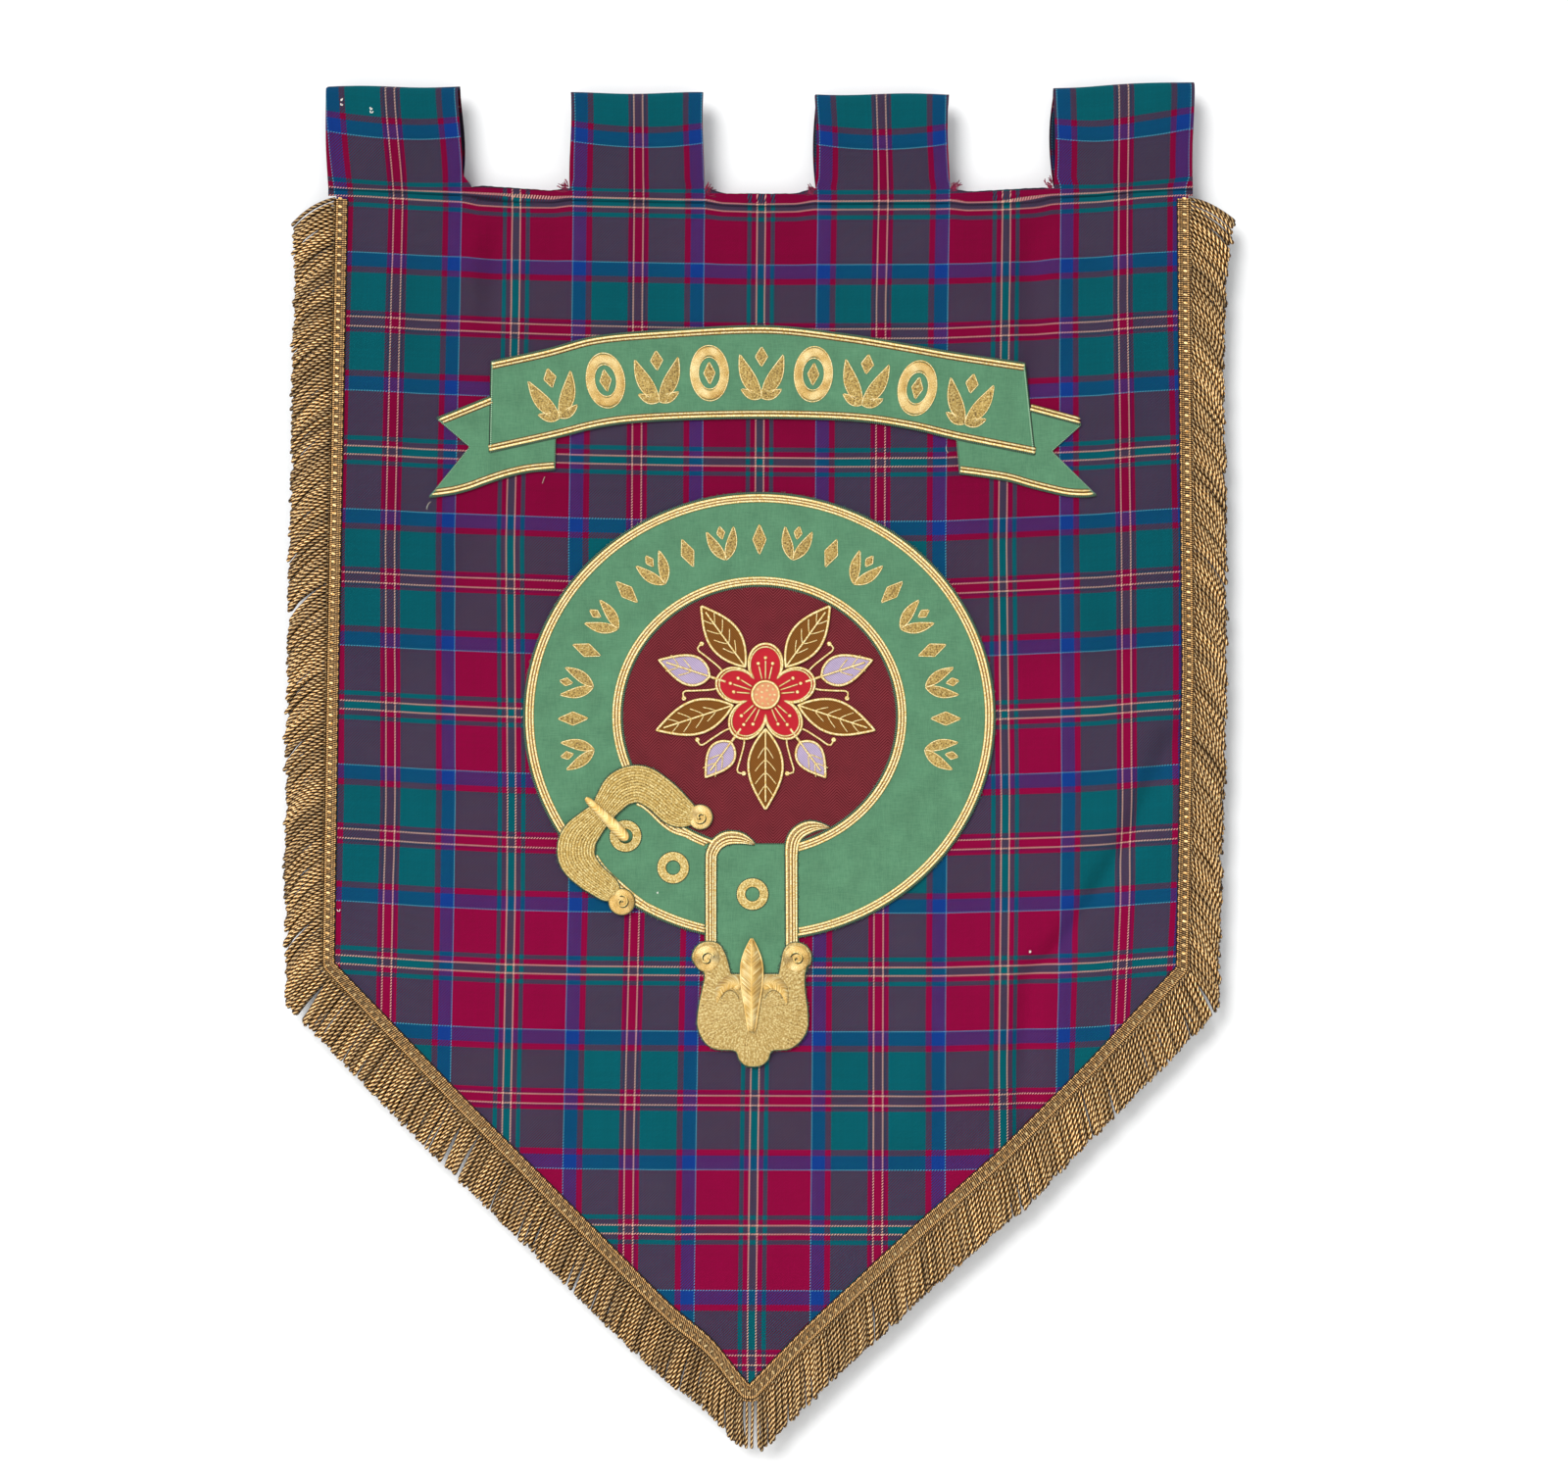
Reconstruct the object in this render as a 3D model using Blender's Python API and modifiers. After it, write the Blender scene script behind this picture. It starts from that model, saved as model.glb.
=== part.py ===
"""Clan banner: a hanging tartan banner with four hanging loops, gold fringe and applied badge.

Metres, +Z up. The front faces -Y, and the origin is the middle of the top edge of the loops.
The cloth hangs flat where the badge stiffens it, with soft vertical folds beside it.
"""
import math
import random

import bmesh
import bpy
from mathutils import Matrix

GAP = 0.0003                # between pieces that are sewn together

# Woven cloth
CLOTH_THICKNESS = 0.0015
CLOTH_TOP = -0.0863         # where the loop strip is seamed on
CLOTH_TIP = -1.0262
CORNER_Z = -0.6930          # where the straight sides end
CLOTH_COLUMNS = 40
CLOTH_SIDE_ROWS = 15
CLOTH_POINT_ROWS = 9
CLOTH_UNDER_BRAID = 0.0088  # how far the cloth reaches under the braid
FLAT_BELOW = 0.00012        # folds shallower than this are left flat

# Soft folds: place of the middle at the top and bottom end, half width, and depth (+ to the back)
FOLDS = (
    # x_top    z_top    x_end    z_end    half     depth
    (-0.2070, -0.0930, -0.2110, -0.1980, 0.0120, 0.0040),
    (-0.2900, -0.1300, -0.2960, -0.3900, 0.0150, -0.0028),
    (-0.2780, -0.4400, -0.2860, -0.6300, 0.0200, 0.0032),
    (-0.2350, -0.3450, -0.2300, -0.4200, 0.0140, 0.0026),
    (0.2150, -0.0930, 0.2060, -0.1930, 0.0140, 0.0045),
    (0.2900, -0.1200, 0.2860, -0.3000, 0.0150, -0.0030),
    (0.2480, -0.3600, 0.2620, -0.5200, 0.0180, -0.0038),
    (0.2860, -0.4600, 0.2800, -0.6400, 0.0150, 0.0036),
    (0.2240, -0.6300, 0.2080, -0.7600, 0.0110, 0.0042),
    (0.1300, -0.7400, 0.1050, -0.8500, 0.0200, -0.0026),
    (-0.1500, -0.7300, -0.1300, -0.8400, 0.0220, 0.0030),
    (-0.0900, -0.8100, -0.0600, -0.9300, 0.0160, -0.0022),
)
FOLD_FADE = 0.030           # length over which a fold dies out at its ends

# Loop strip: four loops folded over to the back and sewn down at the seam
STRIP_BOTTOM = -0.0860
STRIP_TOP = -0.0800
NOTCH_SAG = 0.0022          # the raw edge between two loops dips this much
LOOP_COLUMNS = 3
NOTCH_COLUMNS = 4
TABS = (
    # left     right    top
    (-0.3395, -0.2345, 0.0000),
    (-0.1494, -0.0450, -0.0050),
    (0.0440, 0.1482, -0.0060),
    (0.2306, 0.3396, -0.0006),
)
# Middle of the cloth round a loop: depth, and height as a share of the loop
LOOP_PATH = (
    # y       share
    (-0.0012, 0.100),
    (-0.0036, 0.350),
    (-0.0046, 0.600),
    (-0.0038, 0.850),
    (-0.0021, 0.955),
    (0.0012, 0.9906),
    (0.0045, 0.955),
    (0.0064, 0.850),
    (0.0074, 0.600),
    (0.0064, 0.350),
    (0.0044, 0.120),
    (0.0032, 0.020),
)

# Fringe: the inner edge of its braid, run by run, from the top left round to the top right
RUNS = (
    ("fringe_left", ((-0.3242, -0.0886), (-0.3311, -0.4558), (-0.3345, -0.6884))),
    ("fringe_lower_left",
     ((-0.3345, -0.6884), (-0.2333, -0.7939), (-0.1201, -0.9071), (-0.0089, -1.0195))),
    ("fringe_lower_right",
     ((-0.0089, -1.0195), (0.0354, -0.9741), (0.1174, -0.8978), (0.1863, -0.8370),
      (0.2572, -0.7662), (0.3265, -0.6915))),
    ("fringe_right", ((0.3265, -0.6915), (0.3311, -0.4558), (0.3273, -0.0886))),
)
BRAID_WIDTH = 0.0108
BRAID_THICKNESS = 0.0020
STRAND_PITCH = 0.0094
STRAND_ROOT = 0.0052
# How the strands hang: degrees outward from straight down at the start and end of a run, length
STRAND_HANG = {
    # run                 start  end  length
    "fringe_left": (60.0, 46.0, 0.0400),
    "fringe_lower_left": (40.0, 4.0, 0.0430),
    "fringe_lower_right": (3.0, 24.0, 0.0425),
    "fringe_right": (34.0, 52.0, 0.0405),
}
STRAND_DROOP = 14.0         # degrees flatter at the root and steeper at the tip on the sides
STRAND_SPREAD = 1.6         # degrees of unevenness
STRAND_UNEVEN = 0.05        # share of the length
TIP_SHARE = 0.62            # size of the tip beside the root

# Applied pieces, in layers towards the front
LINEN_THICKNESS = 0.0012
CORD_RISE = 0.0006          # the gold cord borders stand this proud of the linen
LINEN_BACK = -(CLOTH_THICKNESS / 2 + GAP)
LINEN_FRONT = LINEN_BACK - LINEN_THICKNESS
CORD_FRONT = LINEN_FRONT - CORD_RISE

# Scroll: its upper and lower edge, from left to right
SCROLL = (
    # x_top    z_top    x_low    z_low
    (-0.2112, -0.2166, -0.2125, -0.2876),
    (-0.1679, -0.2071, -0.1630, -0.2770),
    (-0.1294, -0.1971, -0.1185, -0.2655),
    (-0.0801, -0.1925, -0.0700, -0.2615),
    (0.0031, -0.1887, 0.0010, -0.2600),
    (0.0655, -0.1950, 0.0720, -0.2618),
    (0.1150, -0.2030, 0.1180, -0.2680),
    (0.1500, -0.2092, 0.1560, -0.2770),
    (0.2075, -0.2179, 0.2152, -0.2895),
)
SCROLL_BORDER = 0.0044
# Fishtail ends of the scroll, in order round each outline; both tuck against the scroll
TAIL_LEFT = (
    (-0.2121, -0.2441), (-0.2541, -0.2610), (-0.2279, -0.2834), (-0.2599, -0.3215),
    (-0.2400, -0.3185), (-0.2150, -0.3080), (-0.1900, -0.3020), (-0.1617, -0.3003),
    (-0.1612, -0.2771), (-0.1630, -0.2774), (-0.2129, -0.2880),
)
TAIL_RIGHT = (
    (0.2115, -0.2505), (0.2515, -0.2633), (0.2284, -0.2872), (0.2630, -0.3211),
    (0.2350, -0.3160), (0.2100, -0.3108), (0.1850, -0.3065), (0.1566, -0.3034),
    (0.1542, -0.2772), (0.1560, -0.2774), (0.2156, -0.2899),
)

# Belt ring and the disc of twill inside it
RING_X = -0.0008
RING_Z = -0.4951
RING_OUTER = 0.1840
RING_INNER = 0.1086
RING_FLATTEN = 0.950        # height beside width
RING_BORDER = 0.0064
RING_SIDES = 48
DISC_THICKNESS = 0.0010

# Hanging end of the belt
STRAP_X = -0.0068
STRAP_HALF = 0.0361
STRAP_TOP = -0.5950
STRAP_CORNER = 0.0100
STRAP_SHOULDER = -0.6705    # the strap narrows here to pass between the scrolls of its tip
STRAP_NECK = 0.0205
STRAP_BOTTOM = -0.6965
STRAP_CLEAR = 0.0004

# Gold tip of the belt: half of its outline, from the neck round to the foot
CHAPE_HALF = (
    # x from the middle, z
    (0.0209, -0.6969), (0.0226, -0.6880), (0.0245, -0.6790), (0.0285, -0.6735),
    (0.0350, -0.6718), (0.0425, -0.6745), (0.0468, -0.6810), (0.0465, -0.6885),
    (0.0425, -0.6950), (0.0420, -0.7080), (0.0442, -0.7260), (0.0440, -0.7400),
    (0.0385, -0.7500), (0.0290, -0.7565), (0.0165, -0.7578), (0.0120, -0.7640),
    (0.0062, -0.7690),
)
CHAPE_FOOT = -0.7702
CHAPE_EDGE = 0.0022
CHAPE_CROWN = 0.0014
CHAPE_INSET = 0.0026

# Ridged leaf over the tip
SPEAR_TOP = -0.6690
SPEAR_FOOT = -0.7420
SPEAR_WIDEST = -0.6960
SPEAR_HALF = 0.0088
SPEAR_RIDGE = 0.0020

# Buckle: middle line and half width, from the upper curl to the lower one
BUCKLE = (
    # x       z        half
    (-0.0475, -0.5760, 0.0080),
    (-0.0560, -0.5730, 0.0108),
    (-0.0667, -0.5678, 0.0135),
    (-0.0797, -0.5560, 0.0134),
    (-0.0947, -0.5480, 0.0142),
    (-0.1090, -0.5515, 0.0138),
    (-0.1185, -0.5620, 0.0112),
    (-0.1245, -0.5705, 0.0096),
    (-0.1335, -0.5795, 0.0116),
    (-0.1430, -0.5915, 0.0142),
    (-0.1440, -0.6060, 0.0142),
    (-0.1345, -0.6190, 0.0118),
    (-0.1210, -0.6295, 0.0100),
    (-0.1105, -0.6390, 0.0090),
)
BUCKLE_EDGE = 0.0012
BUCKLE_CROWN = 0.0010
BUCKLE_INSET = 0.0024
# Prong: root, tip, half widths there
PRONG = ((-0.1357, -0.5603, 0.0026), (-0.1066, -0.5894, 0.0040))
PRONG_THICKNESS = 0.0018
PRONG_CROWN = 0.0006

# Stitched eyelets of the belt
EYELETS = (
    # name               x        z
    ("eyelet_buckle", -0.1059, -0.5889),
    ("eyelet_middle", -0.0685, -0.6137),
    ("eyelet_strap", -0.0062, -0.6345),
)
EYELET_OUTER = 0.0121
EYELET_INNER = 0.0061
EYELET_THICKNESS = 0.0008
EYELET_SIDES = 20

# Flower spray on the disc
SPRAY_X = 0.0040
SPRAY_Z = -0.4780
PATCH_THICKNESS = 0.0008
PATCH_BACK = LINEN_BACK - DISC_THICKNESS - GAP
PETALS = 5
PETAL_LENGTH = 0.0400
PETAL_WAIST = 0.0180
FLOWER_CENTRE = 0.0105
FLOWER_SIDES = 20
# Leaves between the petals and buds beyond them: direction in degrees, start, end, half width
SPRAY = (
    # name             angle  start   end     half
    ("leaf_high_left", 126.0, 0.0270, 0.0860, 0.0125),
    ("leaf_high_right", 54.0, 0.0270, 0.0860, 0.0125),
    ("leaf_side_left", 198.0, 0.0270, 0.0900, 0.0130),
    ("leaf_side_right", 342.0, 0.0270, 0.0900, 0.0130),
    ("leaf_low", 270.0, 0.0270, 0.0900, 0.0135),
    ("bud_left", 162.0, 0.0460, 0.0880, 0.0115),
    ("bud_right", 18.0, 0.0460, 0.0880, 0.0115),
    ("bud_low_left", 234.0, 0.0460, 0.0800, 0.0105),
    ("bud_low_right", 306.0, 0.0460, 0.0800, 0.0105),
)
LEAF_STATIONS = 7

COLOURS = {
    # name      red    green  blue   roughness metallic
    "tartan": (0.120, 0.030, 0.085, 0.88, 0.0),
    "gold_trim": (0.430, 0.250, 0.070, 0.55, 0.1),
    "green_linen": (0.100, 0.300, 0.180, 0.82, 0.0),
    "maroon_twill": (0.105, 0.010, 0.020, 0.80, 0.0),
    "gold_thread": (0.620, 0.440, 0.140, 0.45, 0.2),
    "red_patch": (0.560, 0.010, 0.020, 0.75, 0.0),
    "peach_patch": (0.850, 0.420, 0.250, 0.75, 0.0),
    "lilac_patch": (0.430, 0.300, 0.520, 0.75, 0.0),
    "brown_patch": (0.190, 0.070, 0.010, 0.75, 0.0),
}


def clear_scene():
    for old in list(bpy.data.objects):
        bpy.data.objects.remove(old, do_unlink=True)


def new_collection(name):
    group = bpy.data.collections.new(name)
    bpy.context.scene.collection.children.link(group)
    return group


def material(name):
    red, green, blue, roughness, metallic = COLOURS[name]
    found = bpy.data.materials.get(name)
    if found:
        return found
    made = bpy.data.materials.new(name)
    made.use_nodes = True
    shader = made.node_tree.nodes["Principled BSDF"]
    shader.inputs["Base Color"].default_value = (red, green, blue, 1.0)
    shader.inputs["Roughness"].default_value = roughness
    shader.inputs["Metallic"].default_value = metallic
    return made


def add_piece(name, bm, colour):
    """Turn a bmesh into one named piece of the banner."""
    bmesh.ops.recalc_face_normals(bm, faces=bm.faces)
    mesh = bpy.data.meshes.new(name)
    bm.to_mesh(mesh)
    bm.free()
    mesh.materials.append(material(colour))
    piece = bpy.data.objects.new(name, mesh)
    BANNER.objects.link(piece)
    return piece


def blend(a, b, share):
    return a + (b - a) * share


def smooth_step(share):
    share = min(1.0, max(0.0, share))
    return share * share * (3.0 - 2.0 * share)


def drape(x, z):
    """How far the cloth lies behind its flat plane at (x, z)."""
    total = 0.0
    for x_top, z_top, x_end, z_end, half, depth in FOLDS:
        along = (z_top - z) / (z_top - z_end)
        middle = blend(x_top, x_end, along)
        fade = smooth_step((z_top - z) / FOLD_FADE) * smooth_step((z - z_end) / FOLD_FADE)
        total += depth * fade * math.exp(-((x - middle) / half) ** 2)
    if abs(total) < FLAT_BELOW:
        return 0.0
    return total


def offset_path(points, distance):
    """The path moved outward, away from the banner, with mitred corners."""
    moved = []
    for index, (x, z) in enumerate(points):
        normals = []
        for a, b in ((index - 1, index), (index, index + 1)):
            if a >= 0 and b < len(points):
                dx = points[b][0] - points[a][0]
                dz = points[b][1] - points[a][1]
                length = math.hypot(dx, dz)
                normals.append((dz / length, -dx / length))
        nx = sum(n[0] for n in normals) / len(normals)
        nz = sum(n[1] for n in normals) / len(normals)
        reach = distance / (nx * nx + nz * nz)
        moved.append((x + nx * reach, z + nz * reach))
    return moved


def braid_path():
    """The whole inner edge of the braid, once round, without repeated corners."""
    points = [RUNS[0][1][0]]
    for _, run in RUNS:
        points.extend(run[1:])
    return points


def edge_x(path, z):
    """Where a path that falls steadily crosses the height z."""
    for (x0, z0), (x1, z1) in zip(path, path[1:]):
        if z0 >= z >= z1:
            return blend(x0, x1, (z0 - z) / (z0 - z1))
    return path[0][0] if z > path[0][1] else path[-1][0]


def build_cloth():
    """The five-sided cloth, woven in one piece, as a grid that follows its cut edge."""
    outline = offset_path(braid_path(), CLOTH_UNDER_BRAID)
    tip = min(range(len(outline)), key=lambda index: outline[index][1])
    left = outline[:tip + 1]
    right = outline[:tip - 1:-1]
    heights = [blend(CLOTH_TOP, CORNER_Z, row / CLOTH_SIDE_ROWS) for row in range(CLOTH_SIDE_ROWS)]
    heights += [blend(CORNER_Z, CLOTH_TIP, row / CLOTH_POINT_ROWS)
                for row in range(CLOTH_POINT_ROWS + 1)]
    bm = bmesh.new()
    bmesh.ops.create_grid(bm, x_segments=CLOTH_COLUMNS, y_segments=len(heights) - 1, size=0.5)
    for vert in bm.verts:
        height = heights[round((0.5 - vert.co.y) * (len(heights) - 1))]
        share = vert.co.x + 0.5
        x = blend(edge_x(left, height), edge_x(right, height), share)
        vert.co = (x, drape(x, height), height)
    cloth = add_piece("banner_cloth", bm, "tartan")
    sheet = cloth.modifiers.new("thickness", "SOLIDIFY")
    sheet.thickness = CLOTH_THICKNESS
    sheet.offset = 0.0


def strip_columns():
    """Places across the strip, each with the number of its loop, or None between loops."""
    columns = []
    for number, (left, right, _) in enumerate(TABS):
        for step in range(LOOP_COLUMNS + 1):
            columns.append((blend(left, right, step / LOOP_COLUMNS), number))
        if number + 1 < len(TABS):
            following = TABS[number + 1][0]
            for step in range(1, NOTCH_COLUMNS):
                columns.append((blend(right, following, step / NOTCH_COLUMNS), None))
    return columns


def loop_rings(top):
    """Outer and inner point of the cloth at each step of the way round a loop."""
    middle = [(0.0, STRIP_TOP)]
    middle += [(y, blend(STRIP_TOP, top, share)) for y, share in LOOP_PATH]
    rings = []
    for index in range(1, len(middle)):
        before = middle[index - 1]
        after = middle[min(index + 1, len(middle) - 1)]
        dy = after[0] - before[0]
        dz = after[1] - before[1]
        length = math.hypot(dy, dz)
        out_y, out_z = -dz / length, dy / length
        y, z = middle[index]
        half = CLOTH_THICKNESS / 2
        rings.append(((y + out_y * half, z + out_z * half), (y - out_y * half, z - out_z * half)))
    return rings


def build_tab_strip():
    """The top strip and its four loops, cut in one piece and folded over to the back."""
    half = CLOTH_THICKNESS / 2
    bm = bmesh.new()
    front, back = [], []
    for x, number in strip_columns():
        top = STRIP_TOP if number is not None else STRIP_TOP - NOTCH_SAG
        front.append((bm.verts.new((x, -half, STRIP_BOTTOM)), bm.verts.new((x, -half, top))))
        back.append((bm.verts.new((x, half, STRIP_BOTTOM)), bm.verts.new((x, half, top))))
    for a in range(len(front) - 1):
        b = a + 1
        bm.faces.new((front[a][0], front[b][0], front[b][1], front[a][1]))
        bm.faces.new((front[a][0], back[a][0], back[b][0], front[b][0]))
    bm.faces.new((front[0][0], front[0][1], back[0][1], back[0][0]))
    bm.faces.new((front[-1][0], back[-1][0], back[-1][1], front[-1][1]))

    numbers = [number for _, number in strip_columns()]
    for a in range(len(front) - 1):
        if numbers[a] is None or numbers[a] != numbers[a + 1]:
            bm.faces.new((front[a][1], front[a + 1][1], back[a + 1][1], back[a][1]))
            bm.faces.new((back[a][0], back[a][1], back[a + 1][1], back[a + 1][0]))
    for number, (_, _, top) in enumerate(TABS):
        columns = [index for index, found in enumerate(numbers) if found == number]
        outer = [front[index][1] for index in columns]
        inner = [back[index][1] for index in columns]
        rings = [(outer, inner)]
        for (outer_y, outer_z), (inner_y, inner_z) in loop_rings(top):
            outer = [bm.verts.new((vert.co.x, outer_y, outer_z)) for vert in outer]
            inner = [bm.verts.new((vert.co.x, inner_y, inner_z)) for vert in inner]
            rings.append((outer, inner))
        rings.append(([back[index][0] for index in columns], [back[index][1] for index in columns]))
        for (outer_a, inner_a), (outer_b, inner_b) in zip(rings, rings[1:]):
            for i in range(LOOP_COLUMNS):
                bm.faces.new((outer_a[i], outer_a[i + 1], outer_b[i + 1], outer_b[i]))
                bm.faces.new((inner_a[i], inner_b[i], inner_b[i + 1], inner_a[i + 1]))
            bm.faces.new((outer_a[0], outer_b[0], inner_b[0], inner_a[0]))
            bm.faces.new((outer_a[-1], inner_a[-1], inner_b[-1], outer_b[-1]))
    add_piece("tab_strip", bm, "tartan")


def run_points(start, inner, outer, share):
    """The inner and outer edge of a run at a share of its length."""
    lengths = [math.dist(a, b) for a, b in zip(inner, inner[1:])]
    along = share * sum(lengths)
    for index, length in enumerate(lengths):
        if along <= length or index == len(lengths) - 1:
            part = along / length
            break
        along -= length
    a, b = start + index, start + index + 1
    inside = tuple(blend(inner[index][axis], inner[index + 1][axis], part) for axis in (0, 1))
    outside = tuple(blend(outer[a][axis], outer[b][axis], part) for axis in (0, 1))
    return inside, outside


def build_fringe(name, inner, start, outer, chance):
    """One run of fringe: a braid with its strands drawn out of the braid's outer side."""
    length = sum(math.dist(a, b) for a, b in zip(inner, inner[1:]))
    count = int((length - 2 * STRAND_ROOT) / STRAND_PITCH)
    margin = (length - count * STRAND_PITCH) / 2 + (STRAND_PITCH - STRAND_ROOT) / 2
    ends = (GAP / 2 / length, 1.0 - GAP / 2 / length)
    shares = [ends[0]]
    for strand in range(count):
        root = margin + strand * STRAND_PITCH
        shares += [root / length, (root + STRAND_ROOT) / length]
    shares.append(ends[1])
    inner_shares = [ends[0]]
    along = 0.0
    for a, b in zip(inner[:-1], inner[1:-1]):
        along += math.dist(a, b)
        inner_shares.append(along / length)
    inner_shares.append(ends[1])

    braid_back = -(CLOTH_THICKNESS / 2 + GAP)
    rim = [run_points(start, inner, outer, share)[1] for share in shares]
    rim += [run_points(start, inner, outer, share)[0] for share in reversed(inner_shares)]
    bm = bmesh.new()
    verts = [bm.verts.new((x, braid_back, z)) for x, z in rim]
    backing = bm.faces.new(verts)
    grown = bmesh.ops.extrude_face_region(bm, geom=[backing])
    front = [item for item in grown["geom"] if isinstance(item, bmesh.types.BMVert)]
    bmesh.ops.translate(bm, verts=front, vec=(0.0, -BRAID_THICKNESS, 0.0))

    first, last, reach = STRAND_HANG[name]
    outward = -1.0 if "left" in name else 1.0
    on_side = name in ("fringe_left", "fringe_right")
    bm.verts.ensure_lookup_table()
    for strand in range(count):
        low, high = verts[1 + 2 * strand], verts[2 + 2 * strand]
        root = next(face for face in low.link_faces if high in face.verts and len(face.verts) == 4)
        share = (strand + 0.5) / count
        hang = blend(first, last, share) + chance.uniform(-STRAND_SPREAD, STRAND_SPREAD)
        size = reach * (1.0 + chance.uniform(-STRAND_UNEVEN, STRAND_UNEVEN))
        droop = STRAND_DROOP if on_side else STRAND_DROOP / 4
        for bend, shrink in ((droop, 1.0), (-droop, TIP_SHARE)):
            angle = math.radians(hang + bend)
            step = (outward * math.sin(angle) * size / 2, 0.0, -math.cos(angle) * size / 2)
            drawn = bmesh.ops.extrude_discrete_faces(bm, faces=[root])
            root = drawn["faces"][0]
            centre = root.calc_center_median()
            bmesh.ops.scale(bm, verts=root.verts, vec=(shrink, shrink, shrink),
                            space=Matrix.Translation(-centre))
            bmesh.ops.translate(bm, verts=root.verts, vec=step)
    add_piece(name, bm, "gold_trim")


def build_fringes():
    path = braid_path()
    outer = offset_path(path, BRAID_WIDTH)
    chance = random.Random(41)
    start = 0
    for name, inner in RUNS:
        build_fringe(name, inner, start, outer, chance)
        start += len(inner) - 1


def plate(outline, back, thickness):
    """A flat piece of the given outline, its face towards the front."""
    bm = bmesh.new()
    face = bm.faces.new([bm.verts.new((x, back, z)) for x, z in outline])
    grown = bmesh.ops.extrude_face_region(bm, geom=[face])
    front = [item for item in grown["geom"] if isinstance(item, bmesh.types.BMVert)]
    bmesh.ops.translate(bm, verts=front, vec=(0.0, -thickness, 0.0))
    return bm


def padded_plate(outline, back, edge, crown, inset):
    """A flat piece whose face is drawn in and raised, as padded embroidery is."""
    bm = plate(outline, back, edge)
    bm.faces.ensure_lookup_table()
    face = min(bm.faces, key=lambda item: item.calc_center_median().y)
    bmesh.ops.inset_region(bm, faces=[face], thickness=inset, use_even_offset=True)
    bmesh.ops.translate(bm, verts=face.verts, vec=(0.0, -crown, 0.0))
    return bm


def build_scroll():
    """The arched band with a raised border along each long edge, and its two fishtails."""
    bm = bmesh.new()
    rows = []
    for x_top, z_top, x_low, z_low in SCROLL:
        height = math.dist((x_top, z_top), (x_low, z_low))
        border = SCROLL_BORDER / height
        section = (
            (0.0, LINEN_BACK), (0.0, CORD_FRONT), (border, CORD_FRONT), (border, LINEN_FRONT),
            (1.0 - border, LINEN_FRONT), (1.0 - border, CORD_FRONT), (1.0, CORD_FRONT),
            (1.0, LINEN_BACK),
        )
        rows.append([bm.verts.new((blend(x_top, x_low, share), y, blend(z_top, z_low, share)))
                     for share, y in section])
    for a, b in zip(rows, rows[1:]):
        for index in range(len(a)):
            following = (index + 1) % len(a)
            bm.faces.new((a[index], a[following], b[following], b[index]))
    bm.faces.new(rows[0])
    bm.faces.new(rows[-1])
    add_piece("scroll_band", bm, "green_linen")
    add_piece("scroll_tail_left", plate(TAIL_LEFT, LINEN_BACK, LINEN_THICKNESS), "green_linen")
    add_piece("scroll_tail_right", plate(TAIL_RIGHT, LINEN_BACK, LINEN_THICKNESS), "green_linen")


def ellipse_place(radius, turn):
    x = RING_X + radius * math.cos(turn)
    return x, RING_Z + radius * math.sin(turn) * RING_FLATTEN


def build_ring():
    """The belt ring: one section carried round the ellipse, open where the strap end crosses."""
    border_in = RING_INNER + RING_BORDER
    border_out = RING_OUTER - RING_BORDER
    section = (
        (RING_INNER, LINEN_BACK), (RING_INNER, CORD_FRONT), (border_in, CORD_FRONT),
        (border_in, LINEN_FRONT), (border_out, LINEN_FRONT), (border_out, CORD_FRONT),
        (RING_OUTER, CORD_FRONT), (RING_OUTER, LINEN_BACK),
    )
    bm = bmesh.new()
    rows = []
    for side in range(RING_SIDES):
        turn = 2 * math.pi * side / RING_SIDES
        places = [(*ellipse_place(radius, turn), y) for radius, y in section]
        rows.append([bm.verts.new((x, y, z)) for x, z, y in places])
    for side, a in enumerate(rows):
        b = rows[(side + 1) % RING_SIDES]
        for index in range(len(a)):
            following = (index + 1) % len(a)
            bm.faces.new((a[index], a[following], b[following], b[index]))
    ring = add_piece("belt_ring", bm, "green_linen")
    cut_with_strap(ring)


def build_disc():
    """The twill disc inside the ring, a hair smaller than the ring's opening."""
    bm = bmesh.new()
    outline = [ellipse_place(RING_INNER - GAP, 2 * math.pi * side / RING_SIDES)
               for side in range(RING_SIDES)]
    bm = plate(outline, LINEN_BACK, DISC_THICKNESS)
    disc = add_piece("badge_disc", bm, "maroon_twill")
    cut_with_strap(disc)


def strap_outline(grow):
    """The strap end: rounded shoulders at the top, a narrower neck at the foot."""
    half = STRAP_HALF + grow
    top = STRAP_TOP + grow
    corner = STRAP_CORNER
    side = []
    for step in range(4):
        turn = math.radians(90.0 * step / 3)
        side.append((half - corner + corner * math.sin(turn), top - corner + corner * math.cos(turn)))
    side.append((half, STRAP_SHOULDER + grow))
    side.append((STRAP_NECK + grow, STRAP_SHOULDER - grow))
    side.append((STRAP_NECK + grow, STRAP_BOTTOM - grow))
    right = [(STRAP_X + x, z) for x, z in side]
    left = [(STRAP_X - x, z) for x, z in reversed(side)]
    return right + left


def cut_with_strap(piece):
    """Cut the strap end's place out of a piece that it crosses."""
    bm = plate(strap_outline(STRAP_CLEAR), 0.01, 0.02)
    bmesh.ops.recalc_face_normals(bm, faces=bm.faces)
    mesh = bpy.data.meshes.new("strap_cutter")
    bm.to_mesh(mesh)
    bm.free()
    cutter = bpy.data.objects.new("strap_cutter", mesh)
    cutter.hide_render = True
    cutter.display_type = "WIRE"
    CUTTERS.objects.link(cutter)
    cut = piece.modifiers.new("strap_place", "BOOLEAN")
    cut.operation = "DIFFERENCE"
    cut.object = cutter


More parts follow.
